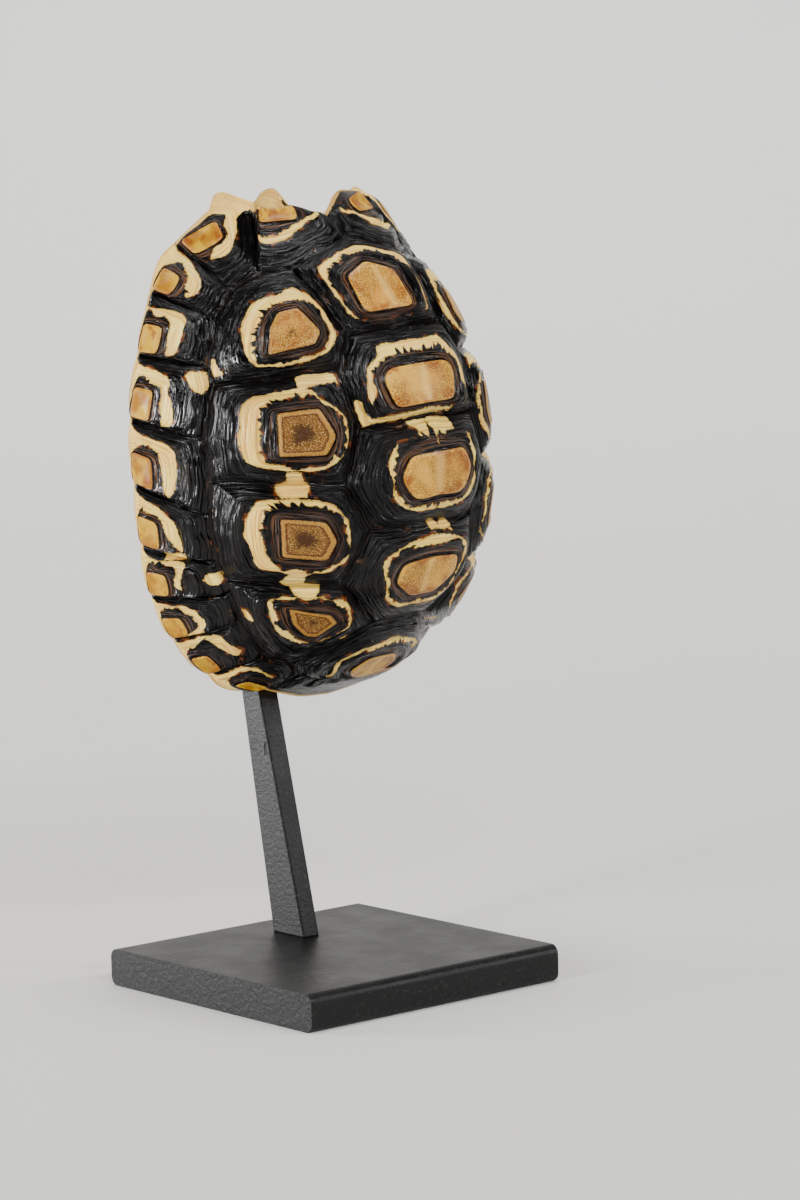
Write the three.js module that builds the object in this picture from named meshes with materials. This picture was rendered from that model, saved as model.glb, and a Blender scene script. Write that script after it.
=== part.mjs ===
// Carapace of a young leopard tortoise, held upright on a small blackened-steel stand.
// Millimetres, +Z up. The origin is the centre of the base plate's underside; the shell's
// outer, domed side faces -Y, its head end is up and its open belly side faces +Y.

import * as THREE from 'three';
import { mergeVertices } from 'three/addons/utils/BufferGeometryUtils.js';

// ---- Driving dimensions -------------------------------------------------------------------

const PLATE = {
  side: 66,              // sawn from flat bar, square
  thick: 7.75,
  rolledRadius: 1.9,     // the bar's own rolled edges, along -Y and +Y
  rolledSteps: 4,
};

const POST = {
  left: 1.0,             // X of its wide left face
  thick: 5.1,            // X
  footFront: 10.9,       // Y of the narrow front edge at the plate
  footDepth: 10.3,       // Y extent at the plate
  frontLean: 0.2535,     // Y per unit of Z
  backLean: 0.1685,
  elbowFront: 66,        // Z where the front edge turns forward, inside the shell
  mitre: 29,             // degrees, slope of the mitred joint
  armRise: 20,           // degrees, slope of the arm that carries the shell
  armLow: 19.6,          // length of the arm's under side
  armHigh: 33.9,         // and of its upper side, up to the bone
  edgeRadius: 1.0,
  edgeSteps: 3,
};

const SHELL = {
  halfWidth: 41,
  halfLength: 54,
  domeHeight: 48,
  centre: [14.8, 32.9, 110.5],   // middle of the rim plane
  leanDegrees: -3.5,             // head end towards -X
  turnDegrees: 1.8,              // about +Z
  frontExponent: 2.05,           // outline, superellipse
  rearExponent: 2.45,
  spreadPower: 0.9,              // how soon the dome widens from its crown
  heightPower: 1.3,              // how soon it falls
  girthSide: 66,                 // over the curve, crown to the widest rim line
  girthEnd: 76,
  flareStart: 0.5,               // share of the way from crown to rim line
  flareSpan: 0.35,
  headFlare: 6.0,                // the margin turned out over the head and the tail
  tailFlare: 3.5,
  headLift: 6.0,                 // and lifted over the neck
  wall: 1.9,
  tailMargin: 2.6,               // extra thickness of the bone at the tail
};

const RELIEF = {
  bigAreola: 2.8,        // height of a scute's young centre over the dome
  marginalAreola: 1.4,
  seam: -0.3,
};

const SEAM_STEP = 5.2;   // spacing of points along a seam
const RIM_STEP = 4.2;

// Seam junctions of one side, in millimetres over the curve from the crown:
// [out from the midline, towards the head].
const JUNCTION = {
  neck: [0, 50.4],
  crownFront: [0, 43.5],
  v1Outer: [17, 38.2],
  v1Rear: [12.6, 22],
  v2Side: [16, 16],
  v2Rear: [14.5, 5.2],
  v3Side: [18, -4],
  v3Rear: [12.5, -11.3],
  v4Side: [16.4, -22],
  v4Rear: [7.6, -32.2],
  v5Side: [22, -42],
  v5Rear: [18.6, -46.6],
  tail: [0, -60.5],
  m1: [23.6, 39],
  m2: [30.2, 36.5],
  m3: [35.5, 32],
  m4: [39.8, 21.6],
  c1c2: [39.9, 17.6],
  m5: [43.5, 6.4],
  c2c3: [42.8, -3],
  m6: [43.2, -10.2],
  m7: [40.8, -20.5],
  c3c4: [38.4, -23.6],
  m8: [37.2, -26.6],
  m9: [34.2, -32.5],
  m10: [27.4, -40.6],
  r1: [16.3, 57],
  r2: [36.1, 50.7],
  r3: [46.3, 42.7],
  r4: [55.5, 29.9],
  r5: [61.7, 13.8],
  r6: [62.3, -3.8],
  r7: [60.0, -20.8],
  r8: [56.0, -34.4],
  r9: [47.4, -43.3],
  r10: [37.0, -49.4],
  r11: [24.4, -51.9],
};

// Free edge of each marginal scute between its two rim junctions, from head to tail.
const FREE_EDGE = {
  leftM1: [[8.4, 52.9], [9.1, 57.0], [9.9, 59.4], [13.4, 58.7]],   // a spur of bare bone
  rightM1: [[5.5, 53.8], [9.3, 56.4]],
  leftM2: [[22.9, 59.5], [24.9, 56.4], [31.6, 53.0]],
  rightM2: [[18.6, 57.4], [22.4, 56.6], [30.4, 53.0]],
  m3: [[40.6, 49.0], [43.6, 46.2]],
  m4: [[49.8, 38.4], [53.2, 34.4]],
  m5: [[58.6, 26.2], [62.0, 19.6]],
  m6: [[63.6, 7.6], [63.6, 0.8]],
  m7: [[62.8, -10.6], [62.2, -16.6]],
  m8: [[60.8, -26.6], [59.0, -32.2]],
  m9: [[53.4, -38.6], [50.6, -42.6]],
  m10: [[44.4, -46.2], [40.4, -49.2]],
  m11: [[33.6, -52.9], [29.8, -54.0], [26.4, -53.6]],
  tail: [[18.6, -54.6], [10.0, -58.6]],
};

// ---- Dome ---------------------------------------------------------------------------------

const smooth = (x) => {
  const c = Math.min(Math.max(x, 0), 1);
  return c * c * (3 - 2 * c);
};

// Point of the plain dome under a place measured over the curve: [across, towards head, out].
function domePoint(across, along) {
  const u = across / SHELL.girthSide;
  const v = along / SHELL.girthEnd;
  const s = Math.hypot(u, v);
  if (s < 1e-9) return new THREE.Vector3(0, 0, SHELL.domeHeight);
  const cos = u / s;
  const sin = v / s;
  const n = sin > 0 ? SHELL.frontExponent : SHELL.rearExponent;
  const outline = (Math.abs(cos) ** n + Math.abs(sin) ** n) ** (-1 / n);
  const angle = s * Math.PI / 2;
  const spread = Math.max(Math.sin(Math.min(angle, Math.PI / 2)), 0) ** SHELL.spreadPower;
  const height = Math.max(Math.cos(angle), 0) ** SHELL.heightPower;
  const fromHead = THREE.MathUtils.radToDeg(Math.atan2(Math.abs(u), v));
  const turned = (Math.max(s - SHELL.flareStart, 0) / SHELL.flareSpan) ** 2;
  const flare = SHELL.headFlare * smooth((75 - fromHead) / 50)
    + SHELL.tailFlare * smooth((fromHead - 110) / 45);
  const lift = SHELL.headLift * smooth((42 - fromHead) / 36);
  return new THREE.Vector3(
    cos * (SHELL.halfWidth * outline * spread + flare * turned),
    sin * (SHELL.halfLength * outline * spread + flare * turned),
    SHELL.domeHeight * height + lift * turned,
  );
}

function domeNormal(across, along) {
  const e = 0.2;
  const du = domePoint(across + e, along).sub(domePoint(across - e, along));
  const dv = domePoint(across, along + e).sub(domePoint(across, along - e));
  return du.cross(dv).normalize();
}

const shellFrame = new THREE.Matrix4()
  .makeTranslation(...SHELL.centre)
  .multiply(new THREE.Matrix4().makeRotationZ(THREE.MathUtils.degToRad(SHELL.turnDegrees)))
  .multiply(new THREE.Matrix4().makeRotationY(THREE.MathUtils.degToRad(SHELL.leanDegrees)))
  .multiply(new THREE.Matrix4().makeRotationX(Math.PI / 2));

function placed(across, along, height) {
  return domePoint(across, along)
    .addScaledVector(domeNormal(across, along), height)
    .applyMatrix4(shellFrame);
}

// ---- Seams --------------------------------------------------------------------------------

// A junction's name carries its side: 'L.' or 'R.', or none on the midline.
function junction(name) {
  const [side, key] = name.includes('.') ? name.split('.') : ['', name];
  const [out, along] = JUNCTION[key];
  return [side === 'L' ? -out : out, along];
}

function between(a, b, step) {
  const count = Math.max(1, Math.round(Math.hypot(b[0] - a[0], b[1] - a[1]) / step));
  const points = [];
  for (let i = 0; i < count; i += 1) {
    const t = i / count;
    points.push([a[0] + (b[0] - a[0]) * t, a[1] + (b[1] - a[1]) * t]);
  }
  return points;
}

// Points from one junction up to the next, which are the same whichever scute asks.
function seam(from, to) {
  if (from < to) return between(junction(from), junction(to), SEAM_STEP);
  const reversed = between(junction(to), junction(from), SEAM_STEP);
  return [junction(from), ...reversed.slice(1).reverse()];
}

function freeEdge(from, to, side, key) {
  const sign = side === 'L' ? -1 : 1;
  const inner = FREE_EDGE[key].map(([out, along]) => [sign * out, along]);
  const stops = [junction(from), ...inner, junction(to)];
  return stops.slice(1).flatMap((stop, i) => between(stops[i], stop, RIM_STEP));
}

// ---- Scutes -------------------------------------------------------------------------------

// A scute is a loop of corners; each corner has its seam junction and the matching corner of
// the areola, the young plate in its middle. Plain names in the loop lie on an edge between.
const side = (name, s) => `${s}.${name}`;

function mirrored(rows, aside) {
  const right = rows.map(([name, [out, along]]) => [side(name, 'R'), [aside + out, along]]);
  const left = rows.map(([name, [out, along]]) => [side(name, 'L'), [aside - out, along]]);
  return [...right, ...left.reverse()];
}

// The young centres of the vertebrals grew a little off the midline.
const VERTEBRALS = {
  v1: [['crownFront', [-1.5, 34.9]], ...mirrored([
    ['v1Outer', [6.6, 32.2]], ['v1Rear', [6.7, 24.4]]], -1.5)],
  v2: mirrored([['v1Rear', [6.7, 13.9]], ['v2Side', [8, 12.2]], ['v2Rear', [6.4, 7.3]]], -0.8),
  v3: mirrored([['v2Rear', [5.9, 0]], ['v3Side', [8, -3.2]], ['v3Rear', [5.2, -6.2]]], 0.5),
  v4: mirrored([['v3Rear', [6.7, -17.3]], ['v4Side', [7.6, -20.9]], ['v4Rear', [3.2, -24.9]]], 0.5),
  v5: mirrored([['v4Rear', [4.2, -41.4]], ['v5Side', [7, -44.6]], ['v5Rear', [5, -47.5]]], 0),
};

const COSTALS = {
  c1: [['v1Outer', [20.1, 28.2]], ['m1'], ['m2', [23.8, 28.3]], ['m3', [26.1, 25.7]], ['m4'],
    ['c1c2', [27.9, 20.7]], ['v2Side', [19.3, 20.8]], ['v1Rear', [17.7, 22.8]]],
  c2: [['v2Side', [21.2, 9.6]], ['c1c2', [28.7, 9.8]], ['m5'], ['c2c3', [29.3, 2]],
    ['v3Side', [21, 1.7]], ['v2Rear', [19, 4.7]]],
  c3: [['v3Side', [21.1, -9.7]], ['c2c3', [29.2, -9.4]], ['m6'], ['m7'], ['c3c4', [28.1, -16.3]],
    ['v4Side', [20.2, -16.1]], ['v3Rear', [18.8, -12.7]]],
  c4: [['v4Side', [18, -26.8]], ['c3c4', [25.5, -26.1]], ['m8'], ['m9', [24.3, -29.3]],
    ['m10', [21.4, -32]], ['v5Side', [19.3, -32.1]], ['v4Rear', [16.4, -28.5]]],
};

// Marginals 1 to 11: rim junctions, and the inner junctions from the head towards the tail.
const MARGINALS = [
  ['neck', 'r1', ['crownFront', 'v1Outer', 'm1']],
  ['r1', 'r2', ['m1', 'm2']],
  ['r2', 'r3', ['m2', 'm3']],
  ['r3', 'r4', ['m3', 'm4']],
  ['r4', 'r5', ['m4', 'c1c2', 'm5']],
  ['r5', 'r6', ['m5', 'c2c3', 'm6']],
  ['r6', 'r7', ['m6', 'm7']],
  ['r7', 'r8', ['m7', 'c3c4', 'm8']],
  ['r8', 'r9', ['m8', 'm9']],
  ['r9', 'r10', ['m9', 'm10']],
  ['r10', 'r11', ['m10', 'v5Side', 'v5Rear']],
];

// Where a marginal's areola lies: share of the way from its head-side seam to its tail-side
// seam, and from the rim to the inner seam.
const MARGINAL_AREOLA = { ahead: 0.52, behind: 0.93, outer: 0.08, inner: 0.36 };

const mix = (a, b, t) => a.map((value, i) => value + (b[i] - value) * t);

const triangles = [];

function addTriangle(a, b, c) {
  triangles.push(a, b, c);
}

// Lays rings of points between an inner and an outer loop and closes the middle with a fan.
function addScute(inner, outer, outerHeights, steps, areolaHeight) {
  const ring = steps.map(([t, share]) => inner.map((p, i) => {
    const [x, y] = mix(p, outer[i], t);
    const height = t === 1 ? outerHeights[i] : RELIEF.seam + (areolaHeight - RELIEF.seam) * share;
    return placed(x, y, height);
  }));
  const middle = mix([0, 0], inner.reduce((sum, p) => [sum[0] + p[0], sum[1] + p[1]]), 1)
    .map((value) => value / inner.length);
  const hub = placed(middle[0], middle[1], areolaHeight - 0.2);
  const flipped = loopArea(outer) < 0;
  const turn = flipped ? (a, b, c) => addTriangle(a, c, b) : addTriangle;
  inner.forEach((_, i) => {
    const j = (i + 1) % inner.length;
    turn(hub, ring[0][i], ring[0][j]);
    for (let k = 1; k < ring.length; k += 1) {
      turn(ring[k - 1][i], ring[k][i], ring[k][j]);
      turn(ring[k - 1][i], ring[k][j], ring[k - 1][j]);
    }
  });
}

function loopArea(loop) {
  return loop.reduce((sum, [x, y], i) => {
    const [nx, ny] = loop[(i + 1) % loop.length];
    return sum + x * ny - nx * y;
  }, 0);
}

const BIG_STEPS = [[0, 1], [0.06, 0.88], [0.45, 0.81], [0.8, 0.44], [0.94, 0.16], [1, 0]];

function addBigScute(corners) {
  const outer = [];
  const inner = [];
  const firsts = corners.map(([, areola], i) => (areola ? i : -1)).filter((i) => i >= 0);
  firsts.forEach((start, k) => {
    const end = firsts[(k + 1) % firsts.length];
    const stops = [];
    for (let i = start; i !== end; i = (i + 1) % corners.length) stops.push(corners[i][0]);
    stops.push(corners[end][0]);
    const points = stops.slice(1).flatMap((name, i) => seam(stops[i], name));
    points.forEach((point, i) => {
      outer.push(point);
      inner.push(mix(corners[start][1], corners[end][1], i / points.length));
    });
  });
  addScute(inner, outer, outer.map(() => RELIEF.seam), BIG_STEPS, RELIEF.bigAreola);
}

const SMALL_STEPS = [[0, 1], [0.3, 0.92], [0.75, 0.75], [1, 0]];

function addMarginal(rim, innerEdge, backSeam, frontSeam) {
  const outer = [...rim, ...backSeam, ...innerEdge, ...frontSeam];
  const corner = [rim[0], backSeam[0], innerEdge[0], frontSeam[0]];
  const at = (along, up) => mix(mix(corner[0], corner[1], along), mix(corner[3], corner[2], along), up);
  const { ahead, behind, outer: low, inner: high } = MARGINAL_AREOLA;
  const areola = [at(ahead, low), at(behind, low), at(behind, high), at(ahead, high)];
  const inner = [];
  [rim, backSeam, innerEdge, frontSeam].forEach((edge, k) => {
    edge.forEach((_, i) => inner.push(mix(areola[k], areola[(k + 1) % 4], i / edge.length)));
  });
  const heights = outer.map((_, i) => (i <= rim.length ? 0 : RELIEF.seam));
  addScute(inner, outer, heights, SMALL_STEPS, RELIEF.marginalAreola);
}

function marginalEdgeKey(index, s) {
  if (index < 2) return `${s === 'L' ? 'left' : 'right'}M${index + 1}`;
  return `m${index + 1}`;
}

const onSide = (name, s) => (['neck', 'crownFront', 'tail'].includes(name) ? name : side(name, s));

Object.values(VERTEBRALS).forEach(addBigScute);

const rimLoop = { L: [], R: [] };
['L', 'R'].forEach((s) => {
  const sign = s === 'L' ? -1 : 1;
  Object.values(COSTALS).forEach((corners) => {
    addBigScute(corners.map(([name, areola]) => [
      side(name, s), areola && [sign * areola[0], areola[1]]]));
  });
  MARGINALS.forEach(([front, back, innerNames], index) => {
    const names = innerNames.map((name) => onSide(name, s));
    const from = onSide(front, s);
    const to = onSide(back, s);
    const rim = freeEdge(from, to, s, marginalEdgeKey(index, s));
    const backSeam = seam(to, names.at(-1));
    const back2front = [...names].reverse();
    const innerEdge = back2front.slice(1).flatMap((name, i) => seam(back2front[i], name));
    const frontSeam = seam(names[0], from);
    addMarginal(rim, innerEdge, backSeam, frontSeam);
    rimLoop[s].push(...rim);
  });
});

// The single supracaudal scute, across the midline at the tail.
function addSupracaudal() {
  const leftRim = freeEdge('L.r11', 'tail', 'L', 'tail');
  const rightRim = freeEdge('R.r11', 'tail', 'R', 'tail');
  const rim = [...leftRim, junction('tail'), ...rightRim.slice(1).reverse()];
  const back = seam('R.r11', 'R.v5Rear');
  const top = seam('R.v5Rear', 'L.v5Rear');
  const front = seam('L.v5Rear', 'L.r11');
  addMarginal(rim, top, back, front);
  rimLoop.L.push(...leftRim, junction('tail'));
  rimLoop.R.push(...rightRim);
}
addSupracaudal();

// ---- Inside of the bone -------------------------------------------------------------------

const INNER_RINGS = [1, 0.94, 0.84, 0.7, 0.52, 0.3];

function addInside() {
  const loop = [...rimLoop.L, ...rimLoop.R.slice(1).reverse()];
  const thickness = (x, y) => {
    const fromTail = THREE.MathUtils.radToDeg(Math.atan2(Math.abs(x), -y));
    const toRim = Math.hypot(x / SHELL.girthSide, y / SHELL.girthEnd);
    return SHELL.wall + SHELL.tailMargin * smooth((62 - fromTail) / 30) * smooth((toRim - 0.55) / 0.2);
  };
  const rings = INNER_RINGS.map((q) => loop.map(([x, y]) => placed(x * q, y * q, -thickness(x * q, y * q))));
  const rim = loop.map(([x, y]) => placed(x, y, 0));
  const hub = placed(0, 0, -SHELL.wall);
  loop.forEach((_, i) => {
    const j = (i + 1) % loop.length;
    const ladder = [rim, ...rings];
    for (let k = 1; k < ladder.length; k += 1) {
      addTriangle(ladder[k - 1][i], ladder[k][i], ladder[k][j]);
      addTriangle(ladder[k - 1][i], ladder[k][j], ladder[k - 1][j]);
    }
    addTriangle(rings.at(-1)[j], rings.at(-1)[i], hub);
  });
}
addInside();

// ---- Meshes -------------------------------------------------------------------------------

function meshGeometry(corners) {
  const positions = new Float32Array(corners.flatMap((p) => [p.x, p.y, p.z]));
  const geometry = new THREE.BufferGeometry();
  geometry.setAttribute('position', new THREE.BufferAttribute(positions, 3));
  return mergeVertices(geometry, 1e-3);
}

function plateGeometry() {
  const { side: length, thick, rolledRadius: r, rolledSteps } = PLATE;
  const half = length / 2;
  const profile = new THREE.Shape();
  profile.absarc(half - r, r, r, -Math.PI / 2, 0);
  profile.absarc(half - r, thick - r, r, 0, Math.PI / 2);
  profile.absarc(-half + r, thick - r, r, Math.PI / 2, Math.PI);
  profile.absarc(-half + r, r, r, Math.PI, Math.PI * 1.5);
  const geometry = new THREE.ExtrudeGeometry(profile, {
    depth: length, bevelEnabled: false, curveSegments: rolledSteps,
  });
  // The profile lies in Y and Z, and runs along X.
  geometry.translate(0, 0, -half);
  geometry.applyMatrix4(new THREE.Matrix4().makeBasis(
    new THREE.Vector3(0, 1, 0), new THREE.Vector3(0, 0, 1), new THREE.Vector3(1, 0, 0)));
  return geometry;
}

// Cross-section of the bar between two places in the Y-Z plane, its front edge and its back
// edge: a rectangle with rolled edges.
function postSection([frontY, frontZ], [backY, backZ]) {
  const width = Math.hypot(backY - frontY, backZ - frontZ);
  const right = POST.left + POST.thick;
  const r = POST.edgeRadius;
  const centres = [
    [right - r, r, -90], [right - r, width - r, 0],
    [POST.left + r, width - r, 90], [POST.left + r, r, 180]];
  return centres.flatMap(([cx, cw, start]) => {
    const points = [];
    for (let i = 0; i <= POST.edgeSteps; i += 1) {
      const angle = THREE.MathUtils.degToRad(start + 90 * i / POST.edgeSteps);
      const t = (cw + r * Math.sin(angle)) / width;
      points.push(new THREE.Vector3(
        cx + r * Math.cos(angle),
        frontY + (backY - frontY) * t,
        frontZ + (backZ - frontZ) * t,
      ));
    }
    return points;
  });
}

function postGeometry() {
  const degrees = THREE.MathUtils.degToRad;
  const frontY = (z) => POST.footFront + POST.frontLean * (z - PLATE.thick);
  const elbowLow = [frontY(POST.elbowFront), POST.elbowFront];
  // The mitred joint runs back and up from there until it meets the bar's back edge.
  const backGap = POST.footFront + POST.footDepth
    + POST.backLean * (POST.elbowFront - PLATE.thick) - elbowLow[0];
  const reach = backGap / (1 - POST.backLean * Math.tan(degrees(POST.mitre)));
  const elbowHigh = [elbowLow[0] + reach, elbowLow[1] + reach * Math.tan(degrees(POST.mitre))];
  const armEnd = ([y, z], length) => [
    y - length * Math.cos(degrees(POST.armRise)), z + length * Math.sin(degrees(POST.armRise))];
  const sections = [
    postSection([POST.footFront, PLATE.thick], [POST.footFront + POST.footDepth, PLATE.thick]),
    postSection(elbowLow, elbowHigh),
    postSection(armEnd(elbowLow, POST.armLow), armEnd(elbowHigh, POST.armHigh)),
  ];
  const first = sections[0];
  const last = sections.at(-1);
  const corners = [];
  first.forEach((_, i) => {
    const j = (i + 1) % first.length;
    for (let k = 1; k < sections.length; k += 1) {
      const low = sections[k - 1];
      const high = sections[k];
      corners.push(low[i], low[j], high[j], low[i], high[j], high[i]);
    }
    if (i > 0 && j > 0) corners.push(first[0], first[j], first[i], last[0], last[i], last[j]);
  });
  return meshGeometry(corners);
}

const blackSteel = { color: 0x1c1b19, roughness: 0.55, metalness: 0.7 };
const scute = { color: 0x8a6a3c, roughness: 0.4, metalness: 0.0 };

function piece(name, geometry, finish) {
  const mesh = new THREE.Mesh(geometry, new THREE.MeshStandardMaterial(finish));
  mesh.name = name;
  return mesh;
}

const carapaceOnStand = new THREE.Group();
carapaceOnStand.add(
  piece('base_plate', plateGeometry(), blackSteel),
  piece('post', postGeometry(), blackSteel),
  piece('shell', meshGeometry(triangles), scute),
);

export default carapaceOnStand;
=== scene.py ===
"""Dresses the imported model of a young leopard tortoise's shell on its steel stand.

Lengths in the tables below are millimetres. A place on the shell is given over the curve,
from the crown of the dome: across, towards the animal's right, and along, towards its head.
"""

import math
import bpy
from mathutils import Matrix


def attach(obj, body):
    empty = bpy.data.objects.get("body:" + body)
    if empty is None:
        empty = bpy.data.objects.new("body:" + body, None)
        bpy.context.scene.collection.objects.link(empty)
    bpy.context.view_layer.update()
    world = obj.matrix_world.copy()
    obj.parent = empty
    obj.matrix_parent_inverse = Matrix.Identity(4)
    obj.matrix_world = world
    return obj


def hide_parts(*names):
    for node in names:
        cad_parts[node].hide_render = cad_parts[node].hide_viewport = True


bl_info = {
    "name": "Tortoise shell on a stand",
    "version": (1, 0, 0),
    "blender": (4, 5, 0),
    "location": "3D View > Sidebar > Tortoise Shell",
    "description": "Builds the ringed shell, the blackened steel stand and a plain studio",
    "category": "Object",
}

import bpy
import numpy as np
from bpy.props import FloatProperty, FloatVectorProperty, PointerProperty
from mathutils import Matrix, Vector

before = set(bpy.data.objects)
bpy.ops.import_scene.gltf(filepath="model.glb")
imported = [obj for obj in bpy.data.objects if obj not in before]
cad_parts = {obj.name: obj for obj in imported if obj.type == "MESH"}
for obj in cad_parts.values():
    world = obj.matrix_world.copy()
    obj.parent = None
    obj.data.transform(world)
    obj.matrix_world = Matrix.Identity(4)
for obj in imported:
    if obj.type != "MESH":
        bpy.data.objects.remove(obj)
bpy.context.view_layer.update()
MM = 0.001

# ---- The dome -----------------------------------------------------------------------------

SHELL_CENTRE = (14.8, 32.9, 110.5)
LEAN_DEGREES = -3.5
TURN_DEGREES = 1.8
FRONT_EXPONENT = 2.05
REAR_EXPONENT = 2.45
SPREAD_POWER = 0.9
HEIGHT_POWER = 1.3
GIRTH_SIDE = 66.0
GIRTH_END = 76.0
FLARE_START = 0.5
FLARE_SPAN = 0.35
HEAD_FLARE = 6.0
TAIL_FLARE = 3.5
HEAD_LIFT = 6.0
TAIL_MARGIN = 2.6
# Where each sets in, in degrees from the head (for the margin, from the tail), and over how
# many degrees it grows to its full size.
HEAD_FLARE_ONSET = (75, 50)
TAIL_FLARE_ONSET = (110, 45)
HEAD_LIFT_ONSET = (42, 36)
TAIL_MARGIN_ONSET = (62, 30)

# ---- Relief of the scutes -----------------------------------------------------------------

SEAM_HEIGHT = -0.3
SEAM_STEP = 1.12
RIM_STEP = 1.1
RIM_STRIP = 0.7
FRONT_ROLL_WIDTH = 2.7
FRONT_ROLL_HEIGHT = 0.5
BARE_BONE_HEIGHT = -0.5
BIG_RINGS = 40
MARGINAL_RINGS = 24
BIG_AREOLA_RINGS = 7
MARGINAL_AREOLA_RINGS = 5

JUNCTION = {
    "neck": (0, 50.4),
    "crown_front": (0, 43.5),
    "v1_outer": (17, 38.2),
    "v1_rear": (12.6, 22),
    "v2_side": (16, 16),
    "v2_rear": (14.5, 5.2),
    "v3_side": (18, -4),
    "v3_rear": (12.5, -11.3),
    "v4_side": (16.4, -22),
    "v4_rear": (7.6, -32.2),
    "v5_side": (22, -42),
    "v5_rear": (18.6, -46.6),
    "tail": (0, -60.5),
    "m1": (23.6, 39),
    "m2": (30.2, 36.5),
    "m3": (35.5, 32),
    "m4": (39.8, 21.6),
    "c1_c2": (39.9, 17.6),
    "m5": (43.5, 6.4),
    "c2_c3": (42.8, -3),
    "m6": (43.2, -10.2),
    "m7": (40.8, -20.5),
    "c3_c4": (38.4, -23.6),
    "m8": (37.2, -26.6),
    "m9": (34.2, -32.5),
    "m10": (27.4, -40.6),
    "r1": (16.3, 56.0),
    "r2": (36.1, 50.7),
    "r3": (46.3, 42.7),
    "r4": (55.5, 29.9),
    "r5": (61.7, 13.8),
    "r6": (62.3, -3.8),
    "r7": (60.0, -20.8),
    "r8": (56.0, -34.4),
    "r9": (47.4, -43.3),
    "r10": (37.0, -49.4),
    "r11": (24.4, -51.9),
}
MIDLINE = ("neck", "crown_front", "tail")

FREE_EDGE = {
    "left m1": [(8.4, 52.9), (9.1, 57.0), (9.9, 59.2), (13.4, 58.6)],
    "right m1": [(5.5, 53.8), (9.3, 56.4)],
    "left m2": [(18.4, 57.4), (22.2, 60.4), (24.4, 59.6), (25.4, 56.6), (31.6, 53.0)],
    "right m2": [(18.6, 57.4), (22.4, 56.6), (30.4, 53.0)],
    "m3": [(40.6, 49.0), (43.6, 46.2)],
    "m4": [(49.8, 38.4), (53.2, 34.4)],
    "m5": [(58.6, 26.2), (62.0, 19.6)],
    "m6": [(63.6, 7.6), (63.6, 0.8)],
    "m7": [(62.8, -10.6), (62.2, -16.6)],
    "m8": [(60.8, -26.6), (59.0, -32.2)],
    "m9": [(53.4, -38.6), (50.6, -42.6)],
    "m10": [(44.4, -46.2), (40.4, -49.2)],
    "m11": [(33.6, -52.9), (29.8, -54.0), (26.4, -53.6)],
    "tail": [(18.6, -54.6), (10.0, -58.6)],
}

# Each scute's seam junctions with the matching corners of its areola, or None where the seam
# passes a junction with no corner of its own. Vertebrals list one half, from the head.
VERTEBRALS = {
    "v1": [("crown_front", (0, 34.9)), ("v1_outer", (5.9, 32.2)), ("v1_rear", (5.9, 24.4))],
    "v2": [("v1_rear", (6.7, 13.9)), ("v2_side", (8.0, 12.2)), ("v2_rear", (6.4, 7.3))],
    "v3": [("v2_rear", (5.9, 0.0)), ("v3_side", (8.0, -3.2)), ("v3_rear", (5.2, -6.2))],
    "v4": [("v3_rear", (6.7, -17.3)), ("v4_side", (7.6, -20.9)), ("v4_rear", (3.2, -24.9))],
    "v5": [("v4_rear", (4.2, -41.4)), ("v5_side", (7.0, -44.6)), ("v5_rear", (5.0, -47.5))],
}
# How far each vertebral's areola lies to the animal's right of the midline.
AREOLA_ASIDE = {"v1": -2.4, "v2": -0.8, "v3": 0.5, "v4": 0.5, "v5": 0.0}

COSTALS = {
    "c1": [
        ("v1_outer", (20.1, 28.2)), ("m1", None), ("m2", (23.8, 28.3)), ("m3", (26.1, 25.7)),
        ("m4", None), ("c1_c2", (27.9, 20.7)), ("v2_side", (19.3, 20.8)), ("v1_rear", (17.7, 22.8)),
    ],
    "c2": [
        ("v2_side", (21.2, 9.6)), ("c1_c2", (28.7, 9.8)), ("m5", None), ("c2_c3", (29.3, 2.0)),
        ("v3_side", (21.0, 1.7)), ("v2_rear", (19.0, 4.7)),
    ],
    "c3": [
        ("v3_side", (21.1, -9.7)), ("c2_c3", (29.2, -9.4)), ("m6", None), ("m7", None),
        ("c3_c4", (28.1, -16.3)), ("v4_side", (20.2, -16.1)), ("v3_rear", (18.8, -12.7)),
    ],
    "c4": [
        ("v4_side", (18.0, -26.8)), ("c3_c4", (25.5, -26.1)), ("m8", None), ("m9", (24.3, -29.3)),
        ("m10", (21.4, -32.0)), ("v5_side", (19.3, -32.1)), ("v4_rear", (16.4, -28.5)),
    ],
}

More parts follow.
